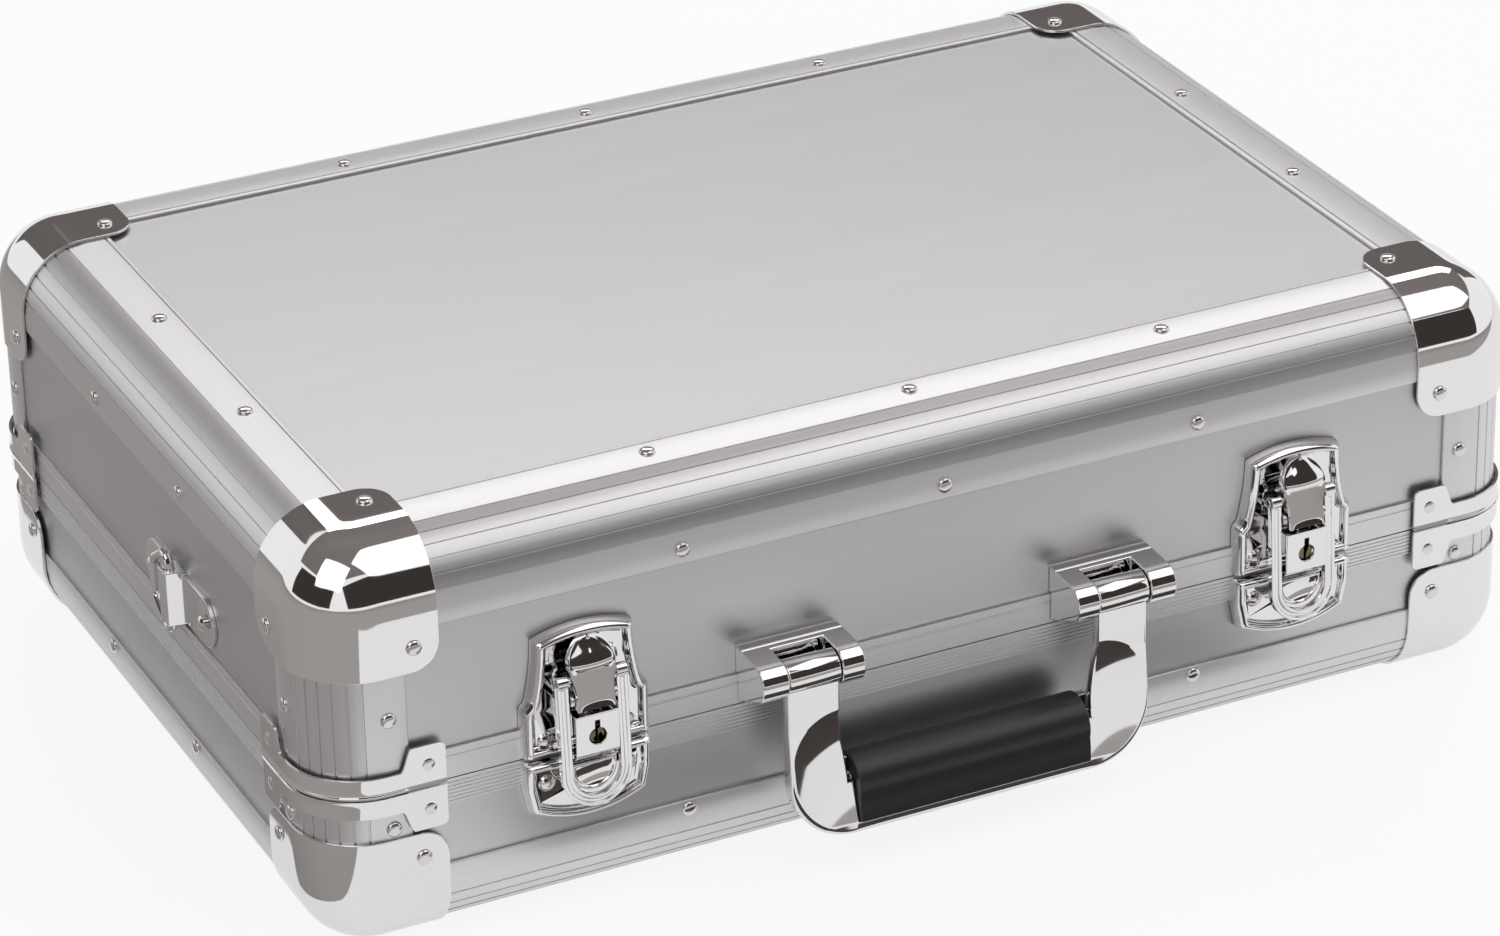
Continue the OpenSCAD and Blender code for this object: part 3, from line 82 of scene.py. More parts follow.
def new_object(name, data):
    """Object of some data, linked into the scene."""
    thing = bpy.data.objects.new(name, data)
    bpy.context.scene.collection.objects.link(thing)
    return thing


# Camera, fitted to the case's edges: place in the case frame, heading from +Y towards +X,
# tilt below the horizon, roll, and the lens on a 36 mm wide sensor
EYE = (-851.118, -1791.168, 1091.286)
HEADING = 25.486
TILT = 27.354
ROLL = 1.204
LENS = 135.951
SENSOR = 36.0
FAR_CLIP = 50.0


def add_camera():
    """Camera at the photograph's angle: turned by heading about Z, tilted about X, rolled."""
    data = bpy.data.cameras.new("camera")
    data.lens = LENS
    data.sensor_width = SENSOR
    data.clip_end = FAR_CLIP
    cam = new_object("camera", data)
    turn = (Matrix.Rotation(math.radians(-HEADING), 4, "Z")
            @ Matrix.Rotation(math.radians(90.0 - TILT), 4, "X")
            @ Matrix.Rotation(math.radians(-ROLL), 4, "Z"))
    cam.matrix_world = Matrix.Translation(Vector(seat(EYE))) @ turn
    bpy.context.scene.camera = cam


# Node helpers


def add_node(tree, kind, **settings):
    """New node of a kind; settings with an upper-case first letter are its input values."""
    node = tree.nodes.new(kind)
    for key, value in settings.items():
        if key[0].isupper():
            node.inputs[key.replace("_", " ")].default_value = value
        else:
            setattr(node, key, value)
    return node


def group_tree(name, inputs, outputs):
    """Empty shader node group with named float sockets; returns it with its two end nodes."""
    tree = bpy.data.node_groups.new(name, "ShaderNodeTree")
    for key, value in inputs.items():
        socket = tree.interface.new_socket(key, in_out="INPUT", socket_type="NodeSocketFloat")
        socket.default_value = value
    for key in outputs:
        tree.interface.new_socket(key, in_out="OUTPUT", socket_type="NodeSocketFloat")
    return tree, tree.nodes.new("NodeGroupInput"), tree.nodes.new("NodeGroupOutput")


def scaled_noise(tree, scale_socket, stretch, detail):
    """Noise on object coordinates that are first stretched by a fixed vector, centred on zero."""
    coords = add_node(tree, "ShaderNodeTexCoord").outputs["Object"]
    mapping = add_node(tree, "ShaderNodeMapping", Scale=stretch)
    noise = add_node(tree, "ShaderNodeTexNoise", Detail=detail)
    tree.links.new(coords, mapping.inputs["Vector"])
    tree.links.new(mapping.outputs["Vector"], noise.inputs["Vector"])
    tree.links.new(scale_socket, noise.inputs["Scale"])
    return math_node(tree, "SUBTRACT", noise.outputs["Fac"], 0.5)


def math_node(tree, operation, a, b):
    """a operation b, where each is a socket or a number."""
    node = add_node(tree, "ShaderNodeMath", operation=operation)
    for slot, value in enumerate((a, b)):
        if isinstance(value, (int, float)):
            node.inputs[slot].default_value = value
        else:
            tree.links.new(value, node.inputs[slot])
    return node.outputs[0]


# Noise scales of the groups
GRAIN_SCALES = {"Fine": 900.0, "Coarse": 40.0}
SMUDGE_SCALES = {"Scale": 18.0}


def scaled(tree, value, gain, offset):
    """value * gain + offset."""
    return math_node(tree, "ADD", math_node(tree, "MULTIPLY", value, gain), offset)


def make_grain_group(name, stretch):
    """Drawn metal: fine grain and broader bands, both stretched along the grain."""
    tree, start, end = group_tree(name, GRAIN_SCALES, ("Grain", "Band"))
    fine = scaled_noise(tree, start.outputs["Fine"], stretch, detail=3.0)
    band = scaled_noise(tree, start.outputs["Coarse"], stretch, detail=2.0)
    tree.links.new(fine, end.inputs["Grain"])
    tree.links.new(band, end.inputs["Band"])
    return tree


def make_smudge_group():
    """Soft cloudy marks, as handling leaves on bright metal."""
    tree, start, end = group_tree("smudge", SMUDGE_SCALES, ("Smudge",))
    cloud = scaled_noise(tree, start.outputs["Scale"], (1.0, 1.0, 1.0), detail=4.0)
    tree.links.new(cloud, end.inputs["Smudge"])
    return tree


# Grain along X for long pieces, along Y for the short ones and along Z for the posts
ALONG_X = (0.02, 1.0, 1.0)
ALONG_Y = (1.0, 0.02, 1.0)
ALONG_Z = (1.0, 1.0, 0.02)
GRAIN_X = make_grain_group("grain along x", ALONG_X)
GRAIN_Y = make_grain_group("grain along y", ALONG_Y)
GRAIN_Z = make_grain_group("grain along z", ALONG_Z)
SMUDGE = make_smudge_group()


def use_group(tree, group, **values):
    """Group node in a material, with its own values on the named inputs."""
    node = tree.nodes.new("ShaderNodeGroup")
    node.node_tree = group
    for key, value in values.items():
        node.inputs[key].default_value = value
    return node


def shade(tree, base, vary, amount):
    """Base colour made lighter or darker by a centred value: base * (1 + amount * value)."""
    factor = scaled(tree, vary, amount, 1.0)
    node = add_node(tree, "ShaderNodeVectorMath", operation="SCALE")
    node.inputs[0].default_value = base
    tree.links.new(factor, node.inputs["Scale"])
    return node.outputs[0]


def surface(name, metallic=1.0, **constants):
    """Material with one Principled shader, whose constant values sit on its own sockets."""
    material = bpy.data.materials.new(name)
    material.use_nodes = True
    tree = material.node_tree
    shader = tree.nodes["Principled BSDF"]
    shader.inputs["Metallic"].default_value = metallic
    for key, value in constants.items():
        shader.inputs[key.replace("_", " ")].default_value = value
    return material, tree, shader


def add_bump(tree, shader, height, strength, distance):
    """A value lifts the surface a little."""
    lift = add_node(tree, "ShaderNodeBump", Strength=strength, Distance=distance)
    tree.links.new(height, lift.inputs["Height"])
    tree.links.new(lift.outputs["Normal"], shader.inputs["Normal"])


GRAIN_ROUGH = 0.6
GRAIN_BUMP = (0.02, 0.0002)


def satin_metal(name, base, rough, grain_group, grain, band):
    """Satin aluminium: grain varies colour and roughness, and lifts a very low bump."""
    material, tree, shader = surface(name)
    marks = use_group(tree, grain_group, **GRAIN_SCALES)
    both = math_node(tree, "ADD", math_node(tree, "MULTIPLY", marks.outputs["Grain"], grain),
                     math_node(tree, "MULTIPLY", marks.outputs["Band"], band))
    tree.links.new(shade(tree, base, both, 1.0), shader.inputs["Base Color"])
    tree.links.new(scaled(tree, both, GRAIN_ROUGH, rough), shader.inputs["Roughness"])
    add_bump(tree, shader, marks.outputs["Grain"], *GRAIN_BUMP)
    return material


def bright_metal(name, base, rough, smudge=0.05, scale=SMUDGE_SCALES["Scale"]):
    """Plated metal: nearly a mirror, with faint smudges in its colour and roughness."""
    material, tree, shader = surface(name)
    marks = use_group(tree, SMUDGE, Scale=scale).outputs["Smudge"]
    tree.links.new(shade(tree, base, marks, smudge), shader.inputs["Base Color"])
    spread = math_node(tree, "ABSOLUTE", marks, 0.0)
    tree.links.new(scaled(tree, spread, smudge, rough), shader.inputs["Roughness"])
    return material


SOFT_ROUGH = 0.1


def soft_surface(name, base, vary, rough, scale, bump, **constants):
    """Plastic or pile: a fine noise varies colour and roughness, and lifts a bump."""
    material, tree, shader = surface(name, metallic=0.0, **constants)
    marks = use_group(tree, SMUDGE, Scale=scale).outputs["Smudge"]
    tree.links.new(shade(tree, base, marks, vary), shader.inputs["Base Color"])
    tree.links.new(scaled(tree, marks, SOFT_ROUGH, rough), shader.inputs["Roughness"])
    add_bump(tree, shader, marks, *bump)
    return material


PANEL_GREY = (0.62, 0.61, 0.63)
PROFILE_GREY = (0.72, 0.71, 0.72)
CHROME_GREY = (0.80, 0.79, 0.79)
PANEL = satin_metal("satin panel", PANEL_GREY, 0.40, GRAIN_X, grain=0.05, band=0.07)
PANEL_SIDE = satin_metal("satin side panel", PANEL_GREY, 0.40, GRAIN_Y, grain=0.05, band=0.07)
PROFILE_LONG = satin_metal("profile along x", PROFILE_GREY, 0.40, GRAIN_X, grain=0.08, band=0.03)
PROFILE_SHORT = satin_metal("profile along y", PROFILE_GREY, 0.40, GRAIN_Y, grain=0.08, band=0.03)
PROFILE_POST = satin_metal("profile along z", PROFILE_GREY, 0.40, GRAIN_Z, grain=0.08, band=0.03)
CHROME = bright_metal("chrome", CHROME_GREY, 0.045)
RIVET = bright_metal("rivet steel", (0.72, 0.70, 0.69), 0.14, smudge=0.2, scale=120.0)
HINGE = bright_metal("hinge steel", (0.74, 0.73, 0.74), 0.16, smudge=0.1)
PIN = bright_metal("pin steel", (0.50, 0.50, 0.51), 0.25, smudge=0.1)
BRASS = bright_metal("lock brass", (0.20, 0.165, 0.10), 0.35, smudge=0.2, scale=90.0)
WIRE = bright_metal("ring wire", (0.76, 0.75, 0.75), 0.08)
GRIP = soft_surface("black grip", (0.018, 0.018, 0.02), 0.3, 0.36, 900.0, (0.05, 0.0001),
                    Specular_IOR_Level=0.5)
LINING = soft_surface("black pile", (0.022, 0.022, 0.024), 1.2, 0.9, 700.0, (0.5, 0.0006),
                      Sheen_Weight=0.4, Sheen_Roughness=0.5)


# Finishes of the CAD nodes that no piece replaces, by the ends of their names; the others are
# the linings and the dividers
NODE_FINISHES = (("left_panel", PANEL_SIDE), ("right_panel", PANEL_SIDE), ("panel", PANEL),
                 ("rivets", RIVET), ("pins", PIN), ("ring", WIRE))


def finish_cad_nodes():
    """Every CAD node gets the finish of its name; its mesh is left alone."""
    for name, node in frame["nodes"].items():
        finish = next((f for ending, f in NODE_FINISHES if name.endswith(ending)), LINING)
        node.data.materials.clear()
        node.data.materials.append(finish)


# Meshes: a patch is an array of points and a list of faces

TINY = 1e-9
LEAST_MITRE_COS = 0.35


def grid_patch(points, wrap_rows=False, wrap_cols=False):
    """Quads between neighbours of a grid points[row, column], whose ends may be joined."""
    rows, cols = points.shape[:2]
    i, j = np.meshgrid(np.arange(rows if wrap_rows else rows - 1),
                       np.arange(cols if wrap_cols else cols - 1), indexing="ij")
    next_i, next_j = (i + 1) % rows, (j + 1) % cols
    faces = np.stack([i * cols + j, next_i * cols + j, next_i * cols + next_j, i * cols + next_j],
                     -1).reshape(-1, 4)
    return points.reshape(-1, 3), faces.tolist()


def ringed_patch(rings):
    """Closed rings joined in their order; the first and the last are filled with one face."""
    points, faces = grid_patch(rings, wrap_cols=True)
    count = rings.shape[1]
    last = (rings.shape[0] - 1) * count
    faces.append(list(range(last, last + count)))
    faces.append(list(range(count))[::-1])
    return points, faces


def anticlockwise(outline):
    """Closed outline, turned round where its signed area is negative."""
    x, y = outline[:, 0], outline[:, 1]
    return outline if np.sum(x * np.roll(y, -1) - np.roll(x, -1) * y) > 0 else outline[::-1]


def arc(centre, radius, start, stop, count):
    """Points on a circle from one angle to another, in degrees."""
    turns = np.radians(np.linspace(start, stop, count))
    return np.stack([centre[0] + radius * np.cos(turns), centre[1] + radius * np.sin(turns)], 1)


def inset(outline, depth):
    """Closed outline moved inwards along its corner normals. The length of a mitre is the depth
    over the cosine of half the corner's turn, which is capped at sharp corners."""
    before = outline - np.roll(outline, 1, 0)
    after = np.roll(outline, -1, 0) - outline
    normals = []
    for way in (before, after):
        way = way / np.maximum(np.linalg.norm(way, axis=1, keepdims=True), TINY)
        normals.append(np.stack([-way[:, 1], way[:, 0]], 1))
    middle = normals[0] + normals[1]
    scale = np.maximum((middle * normals[0]).sum(1, keepdims=True), LEAST_MITRE_COS)
    return outline + middle / scale * depth


def even_outline(corners, step):
    """Closed polyline with points added at an even step along its longer sides."""
    points = []
    for start, stop in zip(corners, np.roll(corners, -1, 0)):
        count = max(1, int(round(np.linalg.norm(stop - start) / step)))
        shares = np.linspace(0.0, 1.0, count, endpoint=False)[:, None]
        points.append(start + (stop - start) * shares)
    return np.concatenate(points)


def pressed(outline, profile):
    """Rings of an outline: each is inset by profile's first value and lifted by its second."""
    rings = [np.column_stack([inset(outline, depth), np.full(len(outline), height)])
             for depth, height in profile]
    return np.array(rings)


def turned(profile, count):
    """Profile (radius, height) turned about Z, as rings."""
    turns = np.linspace(0.0, 2.0 * math.pi, count, endpoint=False)
    rings = [np.stack([r * np.cos(turns), r * np.sin(turns), np.full(count, h)], 1)
             for r, h in profile]
    return np.array(rings)


def moved(patch, axes, origin):
    """Patch taken to axes (rows are the images of X, Y and Z) and an origin."""
    points, faces = patch
    axes = np.asarray(axes, float)
    if np.linalg.det(axes) < 0:
        faces = [face[::-1] for face in faces]
    return points @ axes + np.asarray(origin, float), faces


# Where pieces lie on the case: sides are numbered 0 front, 1 right, 2 back, 3 left


def half_out(k):
    """Distance of side k's plane from the middle."""
    return (CASE_D if k % 2 == 0 else CASE_W) / 2.0


def half_len(k):
    """Half the length of side k."""
    return (CASE_W if k % 2 == 0 else CASE_D) / 2.0


def shell_depth(upper):
    """Distance from a shell's outer plane to the split."""
    return CASE_H - SPLIT if upper else SPLIT


def on_side(patch, k, along, height, flip=1.0):
    """Local X along side k, Y up (down where flip is -1) and Z outwards."""
    turn = math.radians(90.0 * k)
    way = np.array([math.cos(turn), math.sin(turn), 0.0]).round(9)
    out = np.array([math.sin(turn), -math.cos(turn), 0.0]).round(9)
    origin = out * half_out(k) + way * along + np.array([0.0, 0.0, height])
    return moved(patch, [way, (0.0, 0.0, flip), out], origin)


def at_corner(patch, ex, ey, upper):
    """Local X, Y and Z inwards from the outer planes that meet at a corner."""
    ez = 1.0 if upper else -1.0
    origin = (ex * CASE_W / 2.0, ey * CASE_D / 2.0, CASE_H if upper else 0.0)
    return moved(patch, np.diag([-ex, -ey, -ez]), origin)


CORNERS = [(ex, ey) for ex in (-1.0, 1.0) for ey in (-1.0, 1.0)]
# Each shell's body, and whether it is the upper one
SHELLS = (("base", False), ("lid", True))


def joined(patches, closed):
    """All patches in one mesh to work on. The faces of a closed patch are turned outwards: they
    are reversed where the volume that they enclose comes out negative."""
    whole = bmesh.new()
    for points, faces in patches:
        mesh = bpy.data.meshes.new("patch")
        mesh.from_pydata(seat(points).tolist(), [], faces)
        if closed:
            part = bmesh.new()
            part.from_mesh(mesh)
            bmesh.ops.recalc_face_normals(part, faces=part.faces)
            if part.calc_volume(signed=True) < 0.0:
                bmesh.ops.reverse_faces(part, faces=part.faces)
            part.to_mesh(mesh)
            part.free()
        whole.from_mesh(mesh)
        bpy.data.meshes.remove(mesh)
    return whole


# Lengths under which points merge and faces vanish, in metres
MERGE_GAP = 2e-6
SLIVER = 1e-7


def add_object(name, mesh, material, sharp):
    """Object of a smooth mesh, whose edges are kept sharp over an angle."""
    mesh.shade_smooth()
    mesh.set_sharp_from_angle(angle=math.radians(sharp))
    mesh.materials.clear()
    mesh.materials.append(material)
    return new_object(name, mesh)


def round_edges(piece, width, sharp, rounds, clamp=True):
    """Edges sharper than an angle are rounded."""
    bevel = piece.modifiers.new("round edges", "BEVEL")
    bevel.width = width * MM
    bevel.segments = rounds
    bevel.limit_method = "ANGLE"
    bevel.angle_limit = math.radians(sharp)
    bevel.use_clamp_overlap = clamp
    bevel.harden_normals = True


def make_piece(name, patches, body, material, nodes=(), bevel=0.0, wall=0.0, rounds=2,
               sharp=35.0):
    """One object of all patches, merged where they meet. Open skins get a wall behind them."""
    mesh = bpy.data.meshes.new(name)
    work = joined(patches, closed=not wall)
    bmesh.ops.remove_doubles(work, verts=work.verts, dist=MERGE_GAP)
    bmesh.ops.dissolve_degenerate(work, edges=work.edges, dist=SLIVER)
    work.to_mesh(mesh)
    work.free()
    piece = add_object(name, mesh, material, sharp)
    if wall:
        thick = piece.modifiers.new("wall", "SOLIDIFY")
        thick.thickness = wall * MM
        thick.offset = -1.0
        thick.use_even_offset = True
    if bevel:
        round_edges(piece, bevel, sharp, rounds)
    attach(piece, body)
    if nodes:
        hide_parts(*nodes)


# Ball corners: a cube's corner pushed out to a rounded one

CAP_OUT = 1.24
CAP_RIVET_OUT = 1.3
CAP_WALL = 1.15
CAP_REACH = 48.6
CAP_FREE_R = 11.0
CAP_FILLET_STEPS = 13
CAP_FLAT_STEPS = 5
CAP_FREE_STEPS = 9


def ball_corner_patches():
    """Three faces of a cube's corner. A point p on them goes to q + R (p - q) / |p - q|, where
    q = max(p, r) is the nearest point of the box inside the rounding. The free corner of each
    face is rounded by the square-to-disc map x sqrt(1 - y^2 / 2)."""
    fillet = EDGE_R * (1.0 - np.tan(np.radians(np.linspace(45.0, 0.0, CAP_FILLET_STEPS))))
    flat = np.linspace(EDGE_R, CAP_REACH - CAP_FREE_R, CAP_FLAT_STEPS)[1:]
    corner = CAP_REACH - CAP_FREE_R * (1.0 - np.linspace(0.0, 1.0, CAP_FREE_STEPS)[1:])
    steps = np.concatenate([fillet, flat, corner])
    a, b = np.meshgrid(steps, steps, indexing="ij")
    x = np.clip((a - CAP_REACH) / CAP_FREE_R + 1.0, 0.0, 1.0)
    y = np.clip((b - CAP_REACH) / CAP_FREE_R + 1.0, 0.0, 1.0)
    a = a - CAP_FREE_R * x * (1.0 - np.sqrt(1.0 - y * y / 2.0))
    b = b - CAP_FREE_R * y * (1.0 - np.sqrt(1.0 - x * x / 2.0))
    p = np.stack([a, b, np.zeros_like(a)], -1)
    q = np.maximum(p, EDGE_R)
    way = (p - q) / np.linalg.norm(p - q, axis=-1, keepdims=True)
    points = q + (EDGE_R + CAP_OUT) * way
    return [grid_patch(np.roll(points, turn, -1)[::-1]) for turn in range(3)]


def add_ball_corners():
    """Four ball corners on each shell, pressed from one thickness of sheet."""
    for body, upper in SHELLS:
        patches = [at_corner(patch, ex, ey, upper) for ex, ey in CORNERS
                   for patch in ball_corner_patches()]
        make_piece(f"{body}_bright_corners", patches, body, CHROME,
                   [f"{body}_ball_corners"], bevel=0.5, wall=CAP_WALL, rounds=3)


# Corner braces: a band bent round the upright corner, with a lobe at each end

BRACE_OUT = 1.1
BRACE_WALL = 1.0
BRACE_BAND = 7.8
BRACE_LOBE = 9.0
BRACE_LOBE_W = 13.0
BRACE_REACH = 48.5
BRACE_ROUND = 2.6
BRACE_FLANK = 4.5
BRACE_LIP = 0.5
BRACE_LIP_W = 1.1
BRACE_STEPS = (10, 3, 10, 5)
BRACE_END_STEPS = 7
BRACE_ROWS = (0.0, 0.05, 0.1, 0.16, 0.24, *np.linspace(0.36, 1.0, 7))


def smooth_step(t):
    """3 t^2 - 2 t^3 between 0 and 1."""
    t = np.clip(t, 0.0, 1.0)
    return t * t * (3.0 - 2.0 * t)


def brace_surface():
    """Band in unrolled coordinates s along the corner and y from the split, bent round the
    corner: s / R is the angle on the arc. The height is the band's, plus the lobe's times a
    smooth step, less a quarter round at each end. A lip swells out along the split. Returns
    the depths from both outer planes and the distance from the split."""
    radius = EDGE_R + BRACE_OUT
    arc_half = radius * math.pi / 4.0
    end = arc_half + BRACE_REACH - EDGE_R
    flank = end - BRACE_LOBE_W - BRACE_FLANK
    stops = [0.0, arc_half, flank, flank + BRACE_FLANK, end - BRACE_ROUND]
    half = [np.linspace(a, b, n, endpoint=False)
            for a, b, n in zip(stops, stops[1:], BRACE_STEPS)]
    turn = np.radians(np.linspace(0.0, 90.0, BRACE_END_STEPS))
    half.append(end - BRACE_ROUND * (1.0 - np.sin(turn)))
    half = np.concatenate(half)
    s = np.concatenate([-half[:0:-1], half])
    far = np.abs(s)
    height = BRACE_BAND + BRACE_LOBE * smooth_step((far - flank) / BRACE_FLANK)
    into = np.clip((far - end + BRACE_ROUND) / BRACE_ROUND, 0.0, 1.0)
    height = height - BRACE_ROUND * (1.0 - np.sqrt(np.maximum(1.0 - into * into, 0.0)))
    y = height[:, None] * np.array(BRACE_ROWS)[None, :]
    lip = BRACE_LIP * np.exp(-(y / BRACE_LIP_W) ** 2)
    turn = np.clip(s, -arc_half, arc_half) / radius
    reach = radius + lip
    nx = -np.sin(math.pi / 4.0 - turn)[:, None]
    ny = -np.cos(math.pi / 4.0 - turn)[:, None]
    over = np.maximum(far - arc_half, 0.0)[:, None]
    x = EDGE_R + reach * nx + np.where(s[:, None] > 0, over, 0.0)
    z = EDGE_R + reach * ny + np.where(s[:, None] < 0, over, 0.0)
    return x, z, y


def add_braces():
    """Four braces along the split of each shell."""
    x, z, y = brace_surface()
    for body, upper in SHELLS:
        from_plane = shell_depth(upper) - SPLIT_GAP / 2.0
        points = np.stack([x, z, from_plane - y], -1)
        patches = [at_corner(grid_patch(points), ex, ey, upper) for ex, ey in CORNERS]
        make_piece(f"{body}_bright_braces", patches, body, CHROME,
                   [f"{body}_corner_braces"], bevel=0.35, wall=BRACE_WALL)


# Rivets: a domed head on a thin washer rim

RIVET_R = 3.0
RIVET_H = 1.5
RIVET_RIM = 0.2
RIVET_FOOT = -0.5
RIVET_SIDES = 20
RIVET_RINGS = 9
RIVET_FULLNESS = 0.8
RIVET_TURN = 84.0
LOW_HEAD_H = 1.15
FLUSH_HEAD_H = 0.25
# Places of the rivets along the front and back, and along the short sides
LONG_PLACES = (-106.0, 0.0, 106.0)
SHORT_PLACES = (-44.0, 44.0)
FACE_IN = 28.0
LID_EDGE_IN = 26.8
BASE_EDGE_IN = 29.0
POST_IN = 28.2
LID_POST = 66.0
BASE_POST = 52.6
CAP_IN = 38.7
BRACE_IN = 41.8
BRACE_UP = 9.1


def head_patch(height=RIVET_H):
    """Turned head: a short upright rim under the dome (R cos^n t, rim + (height - rim) sin t)."""
    turn = np.radians(np.linspace(0.0, RIVET_TURN, RIVET_RINGS))
    dome = [(RIVET_R * math.cos(t) ** RIVET_FULLNESS,
             RIVET_RIM + (height - RIVET_RIM) * math.sin(t)) for t in turn]
    return ringed_patch(turned([(RIVET_R, RIVET_FOOT), *dome], RIVET_SIDES)[:, ::-1])


def side_height(upper, inward):
    """Height on the case of a distance from a shell's outer plane."""
    return CASE_H - inward if upper else inward


def pairs(k, inward):
    """Two places on side k, one near each end."""
    return [-(half_len(k) - inward), half_len(k) - inward]


def heads_on_side(k, places, seat_out, upper):
    """Heads on side k at places (along, inward), lifted onto what they hold."""
    points, faces = head_patch()
    lifted = (points + np.array([0.0, 0.0, seat_out]), faces)
    return [on_side(lifted, k, s, side_height(upper, h)) for s, h in places]


def edge_places(k, upper):
    """Places of the rivets in side k's long profile and in its two posts."""
    inward = LID_EDGE_IN if upper else BASE_EDGE_IN
    post = LID_POST if upper else BASE_POST
    return ([(s, inward) for s in (SHORT_PLACES if k % 2 else LONG_PLACES)]
            + [(s, post) for s in pairs(k, POST_IN)])


def on_top(patch, x, y, lift):
    """Patch on the top panel's plane, facing up."""
    return moved(patch, np.eye(3), (x, y, CASE_H + lift))


def under(patch, x, y, lift):
    """Patch on the bottom panel's plane, facing down."""
    return moved(patch, np.diag([1.0, -1.0, -1.0]), (x, y, -lift))


def face_places():
    """Places of the rivets along the four edges of the top, and of the underside."""
    long_y, short_x = CASE_D / 2 - FACE_IN, CASE_W / 2 - FACE_IN
    return ([(s, e * long_y) for s in LONG_PLACES for e in (-1, 1)]
            + [(e * short_x, s) for s in SHORT_PLACES for e in (-1, 1)])


def add_rivets():
    """Heads in the profiles, and heads in the ball corners and braces. Those underneath are
    lower, and flush where the case stands on its ball corners."""
    head = head_patch()
    low = head_patch(LOW_HEAD_H)
    flush = head_patch(FLUSH_HEAD_H)
    for body, upper in SHELLS:
        panel = []
        corner = []
        for k in range(4):
            panel += heads_on_side(k, edge_places(k, upper), 0.0, upper)
            corner += heads_on_side(k, [(s, CAP_IN) for s in pairs(k, CAP_IN)], CAP_OUT, upper)
            corner += heads_on_side(k, [(s, shell_depth(upper) - BRACE_UP)
                                        for s in pairs(k, BRACE_IN)], BRACE_OUT, upper)
        if upper:
            panel += [on_top(head, x, y, 0.0) for x, y in face_places()]
        else:
            panel += [under(low, x, y, 0.0) for x, y in face_places()]
        caps = [(ex * (CASE_W / 2 - CAP_IN), ey * (CASE_D / 2 - CAP_IN)) for ex, ey in CORNERS]
        corner += [on_top(head, x, y, CAP_OUT) if upper else
                   under(flush, x, y, CAP_RIVET_OUT - FLUSH_HEAD_H) for x, y in caps]
        make_piece(f"{body}_edge_rivet_heads", panel, body, RIVET,
                   [f"{body}_panel_rivets"])
        make_piece(f"{body}_cap_rivet_heads", corner, body, RIVET,
                   [f"{body}_corner_rivets"])


# Edge profiles: a rounded section carried along each side, with mitred ends

LEG = 1.2
TOP_FLANGE = 37.0
SIDE_FLANGE = 32.5
POST_FLANGE = 35.4
GROOVES = 6
GROOVE_W = 0.7
GROOVE_DEPTH = 0.55
GROOVE_SPAN = (0.17, 0.83)
TRIM_IN = 2.2
LIP_R = 0.45
# Places across a groove in half widths (in widths for the trim) and shares of its depth
GROOVE_PROFILE = ((-1.25, 0.0), (-0.75, 0.85), (0.75, 0.85), (1.25, 0.0))
TRIM_PROFILE = ((-0.55, 0.0), (-0.3, 1.0), (0.3, 1.0), (0.55, 0.0))
LAND_SHARES = (0.3, 0.5, 0.7)
LIP_TURNS = np.radians([0.0, 30.0, 60.0, 90.0])
INNER_STEPS = 13
MITRE_GAP = 0.1


def grooved_skin(flange_x, flange_y, trim):
    """Closed section: flat, rounded edge with V grooves, flat, then back one wall further in.
    X is the depth from the upright plane, Y from the other one."""
    half = math.degrees(GROOVE_W / 2.0 / EDGE_R)
    step = 90.0 * (GROOVE_SPAN[1] - GROOVE_SPAN[0]) / (GROOVES - 1)
    angles = [180.0]
    depths = [0.0]
    for i in range(GROOVES):
        mid = 180.0 + 90.0 * GROOVE_SPAN[0] + step * i
        for turn, depth in GROOVE_PROFILE:
            angles.append(mid + turn * half)
            depths.append(depth * GROOVE_DEPTH)
        if i < GROOVES - 1:
            angles += [mid + step * share for share in LAND_SHARES]
            depths += [0.0] * len(LAND_SHARES)
    angles.append(270.0)
    depths.append(0.0)
    turns = np.radians(angles)
    radii = EDGE_R - np.array(depths)
    bend = np.stack([EDGE_R + radii * np.cos(turns), EDGE_R + radii * np.sin(turns)], 1)
    top = [(LIP_R - LIP_R * math.cos(t), flange_y - LIP_R + LIP_R * math.sin(t))
           for t in LIP_TURNS[::-1]]
    far = [(flange_x - LIP_R + LIP_R * math.sin(t), LIP_R - LIP_R * math.cos(t))
           for t in LIP_TURNS]
    trims = [(flange_x - TRIM_IN + at * GROOVE_W, depth * GROOVE_DEPTH)
             for at, depth in (TRIM_PROFILE if trim else ())]
    back = arc((EDGE_R, EDGE_R), EDGE_R - LEG, 270.0, 180.0, INNER_STEPS)[1:]
    inner = [(flange_x, LEG), (EDGE_R, LEG), *back, (LEG, flange_y)]
    return np.array([*top, *bend, *trims, *far, *inner])


def edge_patch(k):
    """The section at both mitred ends: a point's end lies its own depth short of the corner,
    at least the rounded edge's radius."""
    section = grooved_skin(TOP_FLANGE, SIDE_FLANGE, True)
    depth = np.maximum(np.maximum(section[:, 0], section[:, 1]), EDGE_R)
    ends = half_len(k) - depth - MITRE_GAP
    rings = [np.stack([e * ends, -half_out(k) + section[:, 0], section[:, 1]], 1)
             for e in (-1.0, 1.0)]
    turn = math.radians(90.0 * k)
    spin = [[math.cos(turn), math.sin(turn), 0.0], [-math.sin(turn), math.cos(turn), 0.0],
            [0.0, 0.0, 1.0]]
    return moved(ringed_patch(np.array(rings)), spin, (0.0, 0.0, 0.0))


def flipped(patch, upper):
    """A piece drawn on the base is turned over for the lid."""
    return moved(patch, np.diag([1.0, 1.0, -1.0]), (0.0, 0.0, CASE_H)) if upper else patch


